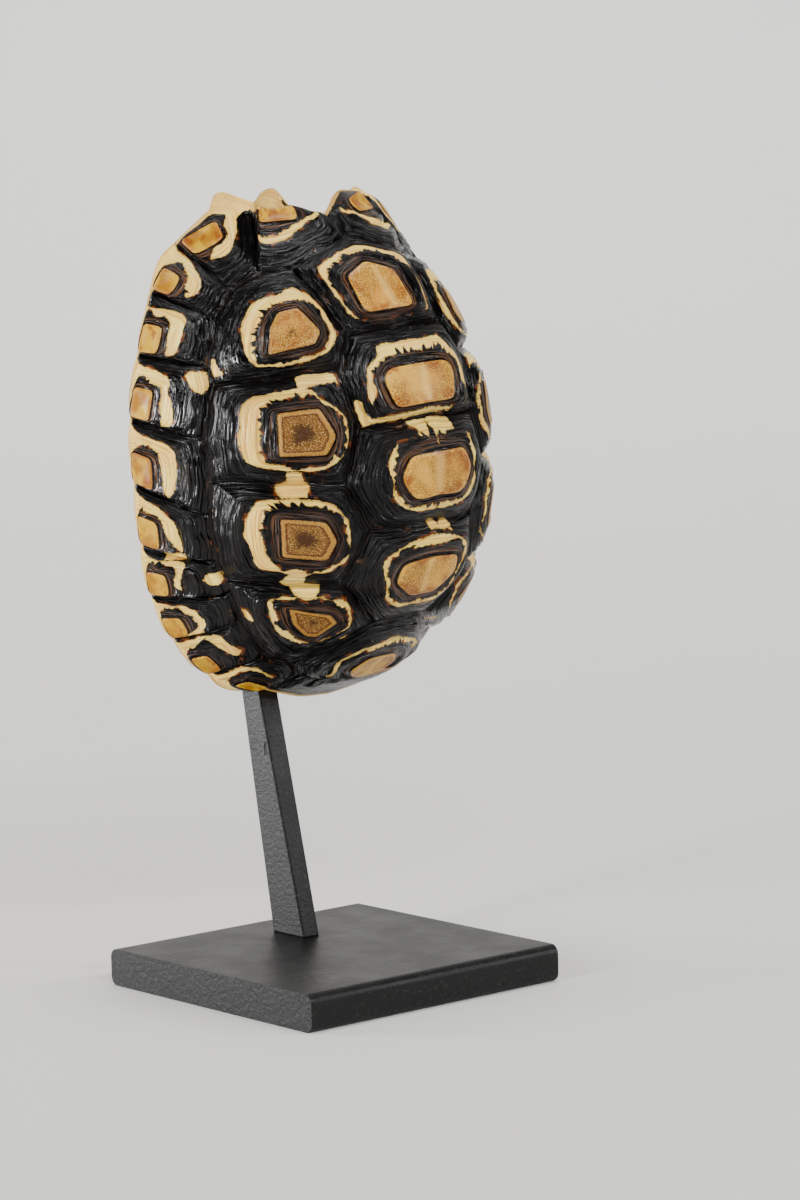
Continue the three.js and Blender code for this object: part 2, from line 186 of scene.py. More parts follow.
# Pale growth. Each row gives where it is on the scute's outline, the shares of the growth
# from areola to seam between which the horn is pale (none where the first isn't smaller),
# and how strongly the dark growth inside it runs out in teeth. Large side scutes and
# marginals count the outline from 0 to 1; vertebrals count their half's corners, with half
# a corner beyond the first and the last at the midline.
PALE_GROWTH = {
    "v1": [
        (-1.0, 0.32, 0.61, 0.8), (-0.6, 0.38, 0.62, 0.8), (0.0, 0.38, 0.61, 0.5),
        (0.25, 0.48, 0.61, 0.2), (0.8, 0.49, 0.61, 0.1), (1.02, 0.5, 0.6, 0.1),
        (1.08, 0.56, 0.54, 0.1), (1.5, 0.6, 0.5, 0.1),
    ],
    "v2": [
        (-0.5, 0.24, 0.6, 1.2), (-0.35, 0.28, 0.54, 1.4), (-0.2, 0.22, 0.62, 1.2),
        (-0.08, 0.3, 0.56, 0.8), (0.0, 0.17, 0.35, 0.2), (0.4, 0.24, 0.42, 0.4),
        (1.0, 0.32, 0.46, 0.3), (1.4, 0.3, 0.5, 0.1), (1.55, 0.32, 0.6, 0.1), (1.7, 0.6, 0.55, 0.1),
        (2.5, 0.6, 0.5, 0.1),
    ],
    "v3": [
        (-0.5, 0.6, 0.5, 0.1), (-0.12, 0.5, 0.46, 0.1), (-0.02, 0.33, 0.42, 0.2),
        (0.1, 0.24, 0.38, 0.4), (0.5, 0.2, 0.36, 0.5), (0.9, 0.14, 0.26, 0.3),
        (1.05, 0.12, 0.16, 0.1), (1.2, 0.25, 0.24, 0.1), (1.45, 0.2, 0.36, 0.3),
        (1.8, 0.18, 0.3, 0.3), (2.1, 0.2, 0.34, 0.6), (2.3, 0.24, 0.43, 1.0),
        (2.5, 0.26, 0.47, 1.2),
    ],
    "v4": [
        (-0.5, 0.46, 0.62, 0.8), (-0.3, 0.48, 0.62, 0.8), (-0.12, 0.5, 0.54, 0.5),
        (-0.02, 0.33, 0.46, 0.5), (0.1, 0.37, 0.51, 0.5), (0.4, 0.3, 0.48, 0.3),
        (0.75, 0.17, 0.3, 0.2), (1.0, 0.12, 0.2, 0.2), (1.3, 0.28, 0.37, 0.4),
        (1.7, 0.32, 0.44, 0.4), (2.0, 0.22, 0.38, 0.3), (2.5, 0.2, 0.34, 0.3),
    ],
    "v5": [
        (-0.5, 0.38, 0.56, 0.6), (0.0, 0.35, 0.47, 0.4), (0.3, 0.45, 0.57, 0.2),
        (0.5, 0.48, 0.58, 0.1), (0.8, 0.37, 0.45, 0.1), (1.0, 0.3, 0.37, 0.1),
        (1.5, 0.36, 0.42, 0.1), (2.0, 0.5, 0.56, 0.1), (2.5, 0.4, 0.5, 0.3),
    ],
    "c1": [
        (0.0, 0.17, 0.53, 0.3), (0.08, 0.15, 0.37, 0.1), (0.18, 0.2, 0.51, 0.8),
        (0.27, 0.21, 0.5, 1.1), (0.38, 0.21, 0.39, 0.9), (0.44, 0.23, 0.34, 0.2),
        (0.48, 0.42, 0.49, 0.0), (0.53, 0.45, 0.57, 0.3), (0.6, 0.45, 0.66, 0.5),
        (0.7, 0.38, 0.5, 0.4), (0.77, 0.4, 0.67, 0.2), (0.86, 0.42, 0.7, 0.2),
        (0.885, 0.57, 0.68, 0.6), (0.92, 0.44, 0.64, 0.8), (0.96, 0.27, 0.54, 0.6),
    ],
    "c2": [
        (0.0, 0.12, 0.28, 0.1), (0.025, 0.3, 0.26, 0.1), (0.05, 0.36, 0.5, 0.2),
        (0.08, 0.33, 0.6, 0.6), (0.14, 0.36, 0.57, 1.2), (0.19, 0.3, 0.52, 0.8),
        (0.22, 0.22, 0.54, 0.8), (0.27, 0.23, 0.5, 0.5), (0.41, 0.23, 0.53, 0.5),
        (0.46, 0.22, 0.48, 0.4), (0.5, 0.22, 0.38, 0.1), (0.58, 0.26, 0.43, 0.3),
        (0.62, 0.36, 0.5, 0.6), (0.645, 0.5, 0.49, 1.0), (0.66, 0.35, 0.5, 0.5),
        (0.74, 0.39, 0.47, 0.5), (0.77, 0.22, 0.42, 0.4), (0.8, 0.25, 0.5, 0.3),
        (0.835, 0.42, 0.68, 0.3), (0.85, 0.6, 0.74, 0.2), (0.87, 0.4, 0.6, 0.3),
        (0.9, 0.5, 0.68, 0.3), (0.93, 0.45, 0.6, 0.3), (0.96, 0.32, 0.36, 0.2),
    ],
    "c3": [
        (0.0, 0.4, 0.57, 1.2), (0.05, 0.4, 0.59, 1.4), (0.13, 0.42, 0.64, 1.4),
        (0.18, 0.36, 0.58, 1.2), (0.235, 0.26, 0.5, 0.9), (0.275, 0.21, 0.42, 0.5),
        (0.33, 0.23, 0.47, 0.6), (0.4, 0.23, 0.53, 0.5), (0.44, 0.21, 0.43, 0.1),
        (0.52, 0.2, 0.43, 0.1), (0.58, 0.31, 0.42, 0.1), (0.605, 0.44, 0.42, 0.1),
        (0.63, 0.28, 0.55, 0.1), (0.68, 0.34, 0.58, 0.3), (0.7, 0.37, 0.43, 0.3),
        (0.75, 0.32, 0.42, 0.3), (0.785, 0.24, 0.38, 0.2), (0.82, 0.42, 0.58, 0.1),
        (0.845, 0.6, 0.69, 0.1), (0.86, 0.6, 0.57, 0.1), (0.9, 0.27, 0.47, 0.5),
        (0.93, 0.42, 0.58, 0.5), (0.965, 0.4, 0.6, 0.9),
    ],
    "c4": [
        (0.0, 0.55, 0.7, 0.4), (0.025, 0.66, 0.64, 0.4), (0.06, 0.62, 0.74, 0.8),
        (0.12, 0.6, 0.73, 1.0), (0.18, 0.48, 0.6, 0.6), (0.25, 0.33, 0.43, 0.4),
        (0.33, 0.22, 0.33, 0.3), (0.37, 0.19, 0.36, 0.3), (0.405, 0.3, 0.37, 1.0),
        (0.43, 0.2, 0.38, 0.3), (0.5, 0.17, 0.29, 0.2), (0.56, 0.16, 0.2, 0.1),
        (0.6, 0.22, 0.2, 0.1), (0.68, 0.28, 0.33, 0.1), (0.76, 0.31, 0.35, 0.1),
        (0.85, 0.38, 0.43, 0.1), (0.9, 0.45, 0.61, 0.2), (0.94, 0.56, 0.78, 0.3),
        (0.97, 0.57, 0.77, 0.6),
    ],
    "m1": [
        (0.0, 0.5, 0.4, 0.1), (0.48, 0.7, 0.66, 0.1), (0.51, 0.52, 0.6, 0.1),
        (0.55, 0.34, 0.5, 0.1), (0.66, 0.3, 0.52, 0.2), (0.74, 0.24, 0.45, 0.1),
        (0.8, 0.18, 0.36, 0.1), (0.86, 0.12, 0.26, 0.1), (0.905, 0.1, 0.22, 0.1),
        (0.94, 0.22, 0.42, 0.1), (0.965, 0.4, 0.6, 0.1), (0.985, 0.65, 0.8, 0.1),
    ],
    "m2": [
        (0.0, 0.3, 1.1, 0.1), (0.29, 0.3, 1.1, 0.1), (0.32, 0.6, 0.5, 0.1), (0.63, 0.3, 0.24, 0.1),
        (0.645, 0.15, 0.34, 0.1), (0.68, 0.06, 0.38, 0.1), (0.74, 0.05, 0.32, 0.1),
        (0.79, 0.1, 0.35, 0.2), (0.84, 0.22, 0.45, 0.2), (0.89, 0.12, 0.48, 0.1),
        (0.95, 0.15, 0.47, 0.1),
    ],
    "m3": [
        (0.0, 0.15, 1.1, 0.1), (0.27, 0.15, 1.1, 0.1), (0.295, 0.5, 0.4, 0.1),
        (0.58, 0.4, 0.36, 0.1), (0.595, 0.18, 0.45, 0.2), (0.62, 0.2, 0.52, 1.0),
        (0.68, 0.16, 0.5, 0.3), (0.75, 0.24, 0.55, 0.2), (0.82, 0.33, 0.68, 0.3),
        (0.87, 0.4, 0.74, 0.5), (0.885, 0.66, 0.85, 0.8), (0.91, 0.5, 0.9, 0.5),
        (0.93, 0.2, 0.82, 0.1), (0.97, 0.1, 0.78, 0.1),
    ],
    "m4": [
        (0.0, 0.5, 0.6, 0.1), (0.08, 0.5, 1.1, 0.1), (0.28, 0.1, 1.1, 0.1), (0.295, 0.6, 0.5, 0.1),
        (0.5, 0.4, 0.36, 0.1), (0.55, 0.22, 0.4, 0.1), (0.6, 0.18, 0.4, 0.1),
        (0.68, 0.14, 0.46, 0.1), (0.74, 0.17, 0.52, 0.1), (0.79, 0.27, 0.66, 0.2),
        (0.83, 0.34, 0.72, 0.6), (0.845, 0.5, 0.7, 1.0), (0.87, 0.28, 0.66, 0.3),
        (0.92, 0.24, 0.6, 0.3), (0.95, 0.4, 0.5, 0.3), (0.97, 0.6, 0.5, 0.1),
    ],
    "m5": [
        (0.0, 0.1, 1.1, 0.1), (0.2, 0.1, 1.1, 0.1), (0.23, 0.6, 0.5, 0.1), (0.48, 0.45, 0.43, 0.1),
        (0.53, 0.25, 0.5, 0.1), (0.62, 0.17, 0.45, 0.1), (0.71, 0.15, 0.3, 0.1),
        (0.76, 0.17, 0.42, 0.2), (0.82, 0.15, 0.5, 0.3), (0.87, 0.17, 0.58, 0.3),
        (0.9, 0.25, 0.63, 0.8), (0.925, 0.42, 0.68, 1.0), (0.95, 0.3, 0.7, 0.5),
        (0.965, 0.5, 0.7, 1.0), (0.98, 0.25, 0.73, 0.3),
    ],
    "m6": [
        (0.0, 0.0, 1.1, 0.1), (0.22, 0.0, 1.1, 0.1), (0.235, 0.6, 0.5, 0.1), (0.5, 0.42, 0.4, 0.1),
        (0.52, 0.24, 0.42, 0.1), (0.6, 0.2, 0.45, 0.1), (0.7, 0.16, 0.5, 0.1),
        (0.76, 0.23, 0.56, 0.1), (0.8, 0.3, 0.62, 0.3), (0.86, 0.35, 0.58, 0.6),
        (0.9, 0.28, 0.6, 0.3), (0.95, 0.14, 0.66, 0.1),
    ],
    "m7": [
        (0.0, 0.0, 1.1, 0.1), (0.25, 0.0, 1.1, 0.1), (0.26, 0.6, 0.5, 0.1), (0.54, 0.5, 0.45, 0.1),
        (0.57, 0.3, 0.52, 0.1), (0.6, 0.24, 0.46, 0.4), (0.64, 0.14, 0.4, 0.2),
        (0.7, 0.13, 0.4, 0.2), (0.77, 0.2, 0.5, 0.2), (0.84, 0.28, 0.6, 0.3),
        (0.88, 0.2, 0.63, 0.8), (0.92, 0.27, 0.7, 0.8), (0.97, 0.15, 0.75, 0.2),
    ],
    "m8": [
        (0.0, 0.0, 1.1, 0.1), (0.2, 0.0, 1.1, 0.1), (0.22, 0.6, 0.5, 0.1), (0.59, 0.3, 0.28, 0.1),
        (0.61, 0.1, 0.24, 0.1), (0.66, 0.18, 0.28, 0.1), (0.69, 0.22, 0.4, 0.1),
        (0.73, 0.34, 0.56, 0.1), (0.77, 0.5, 0.8, 0.1), (0.79, 0.62, 0.96, 0.1),
        (0.82, 0.5, 0.8, 0.3), (0.85, 0.42, 0.7, 0.8), (0.9, 0.44, 0.66, 0.6),
        (0.95, 0.4, 0.7, 0.3),
    ],
    "m9": [
        (0.0, 0.0, 1.1, 0.1), (0.2, 0.0, 1.1, 0.1), (0.24, 0.8, 1.1, 0.1), (0.28, 0.3, 1.1, 0.1),
        (0.36, 0.0, 0.9, 0.1), (0.45, 0.0, 0.6, 0.1), (0.52, 0.0, 0.35, 0.1),
        (0.535, 0.4, 0.35, 0.1), (0.55, 0.3, 0.5, 0.2), (0.62, 0.22, 0.4, 0.3),
        (0.7, 0.24, 0.46, 0.2), (0.77, 0.37, 0.6, 0.1), (0.8, 0.62, 0.6, 0.1),
        (0.83, 0.5, 0.6, 0.2), (0.87, 0.42, 0.64, 0.3), (0.89, 0.56, 0.7, 0.8),
        (0.92, 0.38, 0.73, 0.3), (0.97, 0.25, 0.78, 0.2),
    ],
    "m10": [
        (0.0, 0.2, 1.1, 0.1), (0.2, 0.3, 1.1, 0.1), (0.22, 0.7, 0.6, 0.1), (0.565, 0.6, 0.58, 0.1),
        (0.58, 0.5, 0.68, 0.2), (0.64, 0.42, 0.6, 0.3), (0.69, 0.36, 0.58, 0.1),
        (0.74, 0.46, 0.74, 0.1), (0.78, 0.64, 0.9, 0.1), (0.805, 0.78, 0.82, 0.1),
        (0.82, 0.85, 0.8, 0.1), (0.84, 0.7, 0.9, 0.3), (0.86, 0.42, 0.88, 0.3),
        (0.93, 0.45, 0.85, 0.3), (0.98, 0.3, 0.8, 0.1),
    ],
    "m11": [
        (0.0, 0.2, 1.1, 0.1), (0.3, 0.3, 1.1, 0.1), (0.32, 0.7, 0.6, 0.1), (0.55, 0.5, 0.48, 0.1),
        (0.6, 0.38, 0.48, 0.1), (0.68, 0.48, 0.58, 0.1), (0.76, 0.62, 0.78, 0.1),
        (0.83, 0.74, 0.92, 0.1), (0.88, 0.65, 0.9, 0.1), (0.95, 0.4, 0.8, 0.1),
    ],
    "tail": [
        (0.0, 0.6, 0.5, 0.1), (0.55, 0.5, 0.4, 0.3), (0.65, 0.34, 0.5, 0.6), (0.85, 0.34, 0.5, 0.6),
        (0.95, 0.5, 0.4, 0.3),
    ],
}

# Pale marks that cross seams or stand outside the bands, dark spots, and bare bone, as
# outlines. Pale marks and dark spots off the midline are on both sides, a little moved on the
# right; bare bone is only on the animal's left.
PALE_MARKS = {
    "c1_c2": [(24.6, 16.4), (17.6, 15.8), (16.7, 13.0), (18.0, 13.8), (22.0, 13.6), (24.3, 12.4)],
    "v2_rear": [
        (14.7, 10.3), (13.3, 9.7), (12.9, 7.6), (11.9, 6.5), (5.5, 6.4), (0.5, 6.7), (-5.3, 6.2),
        (-5.2, 5.6), (0.0, 5.7), (5.6, 5.5), (11.8, 5.6), (13.8, 5.5), (14.4, 7.9),
    ],
    "v3_front": [
        (5.3, 5.1), (-4.9, 4.9), (-4.5, 2.7), (-2.9, 2.8), (-1.9, 1.9), (-1.1, 2.8), (-0.4, 0.9),
        (0.1, 3.0), (0.9, 4.6), (1.2, 1.9), (2.2, 2.9), (3.0, 2.2), (3.4, 3.8),
    ],
    "c2_c3": [
        (28.6, -0.9), (25.7, -0.9), (25.5, -2.9), (24.4, -3.5), (24.6, -5.8), (29.6, -5.9),
        (31.4, -3.6), (28.7, -2.9),
    ],
    "v4_front": [
        (1.0, -10.6), (-1.0, -10.7), (-2.0, -11.9), (-2.9, -10.8), (-4.5, -10.9), (-5.2, -12.9),
        (0.1, -12.6),
    ],
    "v4_ring": [(4.7, -14.7), (2.0, -13.5), (-1.6, -13.3), (-5.7, -13.7), (-5.9, -14.5), (-0.9, -15.2)],
    "c3_c4": [
        (28.3, -21.9), (26.8, -19.5), (23.4, -19.0), (23.8, -21.4), (20.3, -21.5), (20.6, -23.0),
        (22.0, -24.4), (25.0, -24.0),
    ],
    "c4_rear": [(14.4, -34.4), (12.8, -32.8), (11.6, -36.2)],
    "m9_c4": [(34.6, -28.6), (31.6, -29.5), (31.2, -30.9), (32.6, -31.3)],
    "c1_m4": [(39.2, 23.6), (37.9, 22.6), (37.9, 20.6), (36.6, 19.0), (39.3, 18.7)],
    "m5_front": [(45.0, 20.8), (43.1, 21.3), (40.4, 20.6), (40.6, 17.6), (42.0, 15.6), (43.9, 17.4)],
    "m8_inner": [(42.9, -24.6), (42.0, -22.9), (39.3, -21.8), (38.6, -24.7), (41.4, -25.6)],
    "m7_m8": [(52.0, -20.2), (46.6, -19.2), (46.3, -20.8), (51.6, -22.3)],
    "m9_m10": [(39.5, -38.6), (38.2, -36.6), (31.5, -39.3), (32.2, -41.1), (34.4, -40.5)],
}
DARK_SPOTS = {
    "c2_corner": [(20.2, 1.7), (18.9, 2.6), (17.9, 2.3), (18.7, 1.1)],
    "m3_inner": [(40.9, 37.3), (39.7, 37.1), (40.1, 35.9), (41.2, 36.2)],
}
BARE_BONE = {
    "m1": [(16.6, 60.0), (10.0, 62.0), (9.6, 52.4), (13.2, 52.7), (16.8, 53.8)],
    "m2": [(24.6, 62.0), (16.4, 60.0), (16.5, 53.3), (21.0, 54.5), (24.7, 55.5)],
}
# The reach of the dark centre of each large side areola. The first has no raised border.
CENTRE_SPOTS = {"c1": 1.4, "c2": 3.4, "c3": 3.4, "c4": 1.6}

# Marginals from head to tail: the two rim junctions and the inner junctions between them.
MARGINALS = [
    ("neck", "r1", ("crown_front", "v1_outer", "m1")),
    ("r1", "r2", ("m1", "m2")),
    ("r2", "r3", ("m2", "m3")),
    ("r3", "r4", ("m3", "m4")),
    ("r4", "r5", ("m4", "c1_c2", "m5")),
    ("r5", "r6", ("m5", "c2_c3", "m6")),
    ("r6", "r7", ("m6", "m7")),
    ("r7", "r8", ("m7", "c3_c4", "m8")),
    ("r8", "r9", ("m8", "m9")),
    ("r9", "r10", ("m9", "m10")),
    ("r10", "r11", ("m10", "v5_side", "v5_rear")),
]
# A marginal's areola, in shares of the scute: from its head end, and from the rim inwards.
MARGINAL_AREOLA = {"ahead": 0.5, "behind": 0.96, "outer": 0.07, "inner": 0.37}


def smooth_step(value):
    share = np.clip(value, 0.0, 1.0)
    return share * share * (3.0 - 2.0 * share)


def sizes():
    return bpy.context.scene.tortoise_shell


def dome_point(places):
    """Points of the plain dome: across, towards the head, out."""
    size = sizes()
    u = places[..., 0] / GIRTH_SIDE
    v = places[..., 1] / GIRTH_END
    reach = np.hypot(u, v)
    from_crown = np.maximum(reach, 1e-6)
    cosine = np.where(reach < 1e-6, 1.0, u / from_crown)
    sine = v / from_crown
    power = np.where(sine > 0, FRONT_EXPONENT, REAR_EXPONENT)
    outline = (np.abs(cosine) ** power + np.abs(sine) ** power) ** (-1 / power)
    angle = reach * math.pi / 2
    spread = np.sin(np.minimum(angle, math.pi / 2)) ** SPREAD_POWER
    height = np.maximum(np.cos(angle), 0.0) ** HEIGHT_POWER
    from_head = np.degrees(np.arctan2(np.abs(u), v))
    turned = (np.maximum(reach - FLARE_START, 0.0) / FLARE_SPAN) ** 2
    flare = HEAD_FLARE * smooth_step((HEAD_FLARE_ONSET[0] - from_head) / HEAD_FLARE_ONSET[1])
    tail_share = smooth_step((from_head - TAIL_FLARE_ONSET[0]) / TAIL_FLARE_ONSET[1])
    flare = flare + TAIL_FLARE * tail_share
    lift = HEAD_LIFT * smooth_step((HEAD_LIFT_ONSET[0] - from_head) / HEAD_LIFT_ONSET[1])
    half_width = size.half_width / MM
    half_length = size.half_length / MM
    return np.stack(
        [
            cosine * (half_width * outline * spread + flare * turned),
            sine * (half_length * outline * spread + flare * turned),
            size.dome_height / MM * height + lift * turned,
        ],
        axis=-1,
    )


def dome_normal(places):
    nudge = 0.2
    east = np.array([nudge, 0.0])
    north = np.array([0.0, nudge])
    along_u = dome_point(places + east) - dome_point(places - east)
    along_v = dome_point(places + north) - dome_point(places - north)
    normal = np.cross(along_u, along_v)
    return normal / np.linalg.norm(normal, axis=-1, keepdims=True)


def shell_frame():
    turned = Matrix.Rotation(math.radians(TURN_DEGREES), 4, "Z")
    leaned = Matrix.Rotation(math.radians(LEAN_DEGREES), 4, "Y")
    upright = Matrix.Rotation(math.pi / 2, 4, "X")
    return Matrix.Translation(SHELL_CENTRE) @ turned @ leaned @ upright


def placed(places, heights):
    """Where a place on the shell is, in metres, at a height over the plain dome."""
    matrix = np.array(shell_frame())
    local = dome_point(places) + dome_normal(places) * np.asarray(heights)[..., None]
    return (local @ matrix[:3, :3].T + matrix[:3, 3]) * MM


# ---- Seams --------------------------------------------------------------------------------


def junction(name):
    """A junction's place; its name carries its side, 'L ' or 'R ', off the midline."""
    side, key = (name[0], name[2:]) if name[:2] in ("L ", "R ") else ("", name)
    across, along = JUNCTION[key]
    return np.array([-across if side == "L" else across, along], float)


def on_side(name, side):
    return name if name in MIDLINE else side + " " + name


def steps_between(start, end, step):
    count = max(1, round(float(np.linalg.norm(end - start)) / step))
    shares = np.arange(count)[:, None] / count
    return start + (end - start) * shares


def wander(points, start, end, seed):
    """Lets a seam leave the straight line a little, as grown seams do."""
    direction = end - start
    length = np.linalg.norm(direction)
    sideways = np.array([-direction[1], direction[0]]) / max(length, 1e-6)
    share = np.linalg.norm(points - start, axis=1) / max(length, 1e-6)
    phase = seed * 2.4
    wave = np.sin(share * math.pi) * (
        0.22 * np.sin(share * length / 1.9 + phase) + 0.14 * np.sin(share * length / 0.8 + 2 * phase)
    )
    return points + sideways * wave[:, None]


def seam(start, end):
    """Points from one junction up to the next, the same whichever scute asks."""
    low, high = sorted((start, end))
    a = junction(low)
    b = junction(high)
    seed = (abs(a[0]) * 7 + abs(b[0]) * 3 + a[1] * 5 + b[1]) % 11
    points = wander(steps_between(a, b, SEAM_STEP), a, b, seed)
    if start == low:
        return points
    return np.vstack([b[None], points[1:][::-1]])


def free_edge(start, end, side, key):
    sign = -1 if side == "L" else 1
    inner = [np.array([sign * across, along]) for across, along in FREE_EDGE[key]]
    stops = [junction(start)] + inner + [junction(end)]
    pieces = [steps_between(a, b, RIM_STEP) for a, b in zip(stops, stops[1:])]
    points = np.vstack(pieces + [stops[-1][None]])
    rounds = 1 if key.startswith("left") else 3
    for _ in range(rounds):
        points[1:-1] = points[1:-1] * 0.5 + (points[:-2] + points[2:]) * 0.25
    return points[:-1]


# ---- Scute meshes -------------------------------------------------------------------------


# Corner data where there is no pale band, no mark, and no seam or areola near; and the gap
# between one scute's growth rings and the next one's, which keeps their noise apart.
OUTSIDE_BAND = -2.0
NO_MARK = -4.0
FAR = 9.0
RING_GAP = 31.0

# What the finish reads at each corner: the place among the growth rings; the distances past
# the start of the pale band and short of its end, into a pale mark, into the areola, into
# bare bone and from the seam; the strength of the teeth; the reach of the centre spot. Inside
# a vertebral's areola "mark" is the distance into a painted highlight along its middle: a pale
# streak that stands in for the shine on its low keel.
CORNER_DATA = ("ring", "begun", "left", "mark", "teeth", "areola", "spot", "bone", "seam")
INNER_FACE = {
    "begun": OUTSIDE_BAND,
    "left": OUTSIDE_BAND,
    "mark": OUTSIDE_BAND,
    "teeth": 0.0,
    "areola": -FAR,
    "spot": 0.0,
    "seam": FAR,
}


class ShellMesh:
    """Gathers the faces of the shell, with what the finish needs at each of their corners."""

    def __init__(self):
        self.places = []
        self.faces = []
        self.inside = []
        self.data = {name: [] for name in CORNER_DATA}
        self.count = 0

    def add_points(self, positions, **data):
        first = self.count
        flat = positions.reshape(-1, 3)
        self.places.append(flat)
        self.count += len(flat)
        for name, values in data.items():
            width = 3 if name == "ring" else 1
            rows = np.asarray(values, float).reshape(-1, width)
            self.data[name].append(np.broadcast_to(rows, (len(flat), width)))
        return first + np.arange(len(flat)).reshape(positions.shape[:-1])

    def add_strip(self, lower, upper, outward, inside=False):
        following = np.roll(np.arange(len(lower)), -1)
        quads = np.stack([lower, upper, upper[following], lower[following]], axis=1)
        quads = quads if outward else quads[:, ::-1]
        self.faces.append(quads)
        self.inside += [inside] * len(quads)

    def add_fan(self, hub, loop, outward, inside=False):
        following = np.roll(loop, -1)
        fan = np.stack([np.full(len(loop), hub), loop, following, following], axis=1)
        fan = fan if outward else fan[:, [0, 2, 1, 1]]
        self.faces.append(fan)
        self.inside += [inside] * len(fan)


def loop_area(loop):
    x, y = loop[:, 0], loop[:, 1]
    return float((x * np.roll(y, -1) - np.roll(x, -1) * y).sum())


def round_blur(loops, width):
    """Smooths closed loops of points along themselves."""
    shifts = np.arange(-3 * width, 3 * width + 1)
    weights = np.exp(-0.5 * (shifts / width) ** 2)
    total = sum(w * np.roll(loops, s, axis=-2) for s, w in zip(shifts, weights))
    return total / weights.sum()


def distance_to_path(places, path):
    """Shortest distance from each place to an open path of points."""
    best = np.full(places.shape[:-1], 1e9)
    for a, b in zip(path[:-1], path[1:]):
        line = b - a
        share = np.clip(((places - a) @ line) / max(float(line @ line), 1e-9), 0, 1)
        gap = places - a - share[..., None] * line
        best = np.minimum(best, np.hypot(gap[..., 0], gap[..., 1]))
    return best


def inside_patch(places, corners):
    """Distance into a patch from its outline, negative outside it."""
    path = np.array(list(corners) + [corners[0]], float)
    distance = distance_to_path(places, path)
    winding = np.zeros(places.shape[:-1])
    for a, b in zip(path[:-1], path[1:]):
        from_a = places - a
        from_b = places - b
        cross = from_a[..., 0] * from_b[..., 1] - from_a[..., 1] * from_b[..., 0]
        dot = (from_a * from_b).sum(-1)
        winding += np.arctan2(cross, dot)
    return np.where(np.abs(winding) > math.pi, distance, -distance)


def growth_shares(count):
    """Rings closer together by the areola and by the seam."""
    even = np.linspace(0, 1, count)
    return 0.6 * even + 0.4 * (0.5 - 0.5 * np.cos(even * math.pi))


# The growth ridges' spacing and height; the broad ones are higher where the scute grew far.
BROAD_SPACING = 3.2
FINE_SPACING = 1.25
BROAD_HEIGHT = 0.08
BROAD_HEIGHT_FAR = 0.34
FINE_HEIGHT = 0.17


def ridge_height(age, around, reach, seed):
    """Growth ridges: broad rolls where the horn grew furthest, with finer ones on them."""
    drift = 0.35 * np.sin(around * 0.3 + seed) + 0.18 * np.sin(around * 0.8 + seed * 2.3)
    broad = 2 * np.abs(np.sin((age + drift) * math.pi / BROAD_SPACING + seed)) ** 0.7 - 1
    turn = (age + drift * 0.7) * math.pi / FINE_SPACING + seed * 1.7
    crisp = 2 * np.abs(np.sin(turn)) ** 0.8 - 1 + 0.3 * np.sin(4 * turn + 0.7)
    swell = 0.75 + 0.25 * np.sin(age * 1.1 + around * 0.2 + seed)
    wide = smooth_step((reach - 8.0) / 4.0)
    return (BROAD_HEIGHT + BROAD_HEIGHT_FAR * wide) * broad + FINE_HEIGHT * crisp * swell


# Ridges and grooves just outside the areola: distance from it, height, half width.
CLOSE_RINGS = [
    (0.3, -0.3, 0.2),
    (0.85, 0.12, 0.22),
    (1.3, -0.12, 0.2),
    (1.75, 0.1, 0.22),
    (2.2, -0.1, 0.22),
]


def close_rings(distance):
    return sum(tall * np.exp(-(((distance - at) / wide) ** 2)) for at, tall, wide in CLOSE_RINGS)


def nearest_mark(places, marks):
    """Distance into the nearest of some marks, negative outside them all."""
    low = places.reshape(-1, 2).min(axis=0) + NO_MARK
    high = places.reshape(-1, 2).max(axis=0) - NO_MARK
    best = np.full(places.shape[:-1], NO_MARK)
    for corners in marks:
        outline = np.array(corners)
        if (outline.max(axis=0) > low).all() and (outline.min(axis=0) < high).all():
            best = np.maximum(best, inside_patch(places, corners))
    return best


def bare_bone(mesh, places):
    """Distance into bare bone, and the share of the horn's height that is worn away."""
    uncovered = nearest_mark(places, mesh.marks["bone"])
    from_rim = distance_to_path(places, mesh.rim_path)
    worn = smooth_step((uncovered + 0.1) / 0.45) * smooth_step(from_rim / 1.2)
    return np.maximum(uncovered, RIM_STRIP - from_rim), worn


def growth_bands(name, stations):
    """Start and end of the pale band, and the strength of its teeth, around a scute."""
    rows = np.array(PALE_GROWTH[name])
    period = None if name in VERTEBRALS else 1.0
    columns = [np.interp(stations, rows[:, 0], rows[:, k], period=period) for k in (1, 2, 3)]
    return [round_blur(column[:, None], 1)[:, 0] for column in columns]


def growth_loops(inner, outer, t, width):
    """Loops from the areola out to the seam, their corners softened on the way."""
    loops = inner[None] + (outer - inner)[None] * t[..., None]
    blurred = round_blur(loops, width)
    softness = (0.85 * np.sin(np.clip(t * 1.15, 0, 1) * math.pi) ** 0.8)[..., None]
    return loops * (1 - softness) + blurred * softness


def way_round(loop):
    """The way travelled along a loop at each point, and a circle of the loop's length."""
    lengths = np.linalg.norm(np.roll(loop, -1, axis=0) - loop, axis=1)
    travelled = np.concatenate([[0.0], np.cumsum(lengths)[:-1]])
    perimeter = float(lengths.sum())
    turn = travelled / perimeter * 2 * math.pi
    radius = perimeter / (2 * math.pi)
    return travelled, np.stack([np.cos(turn), np.sin(turn)], axis=1) * radius


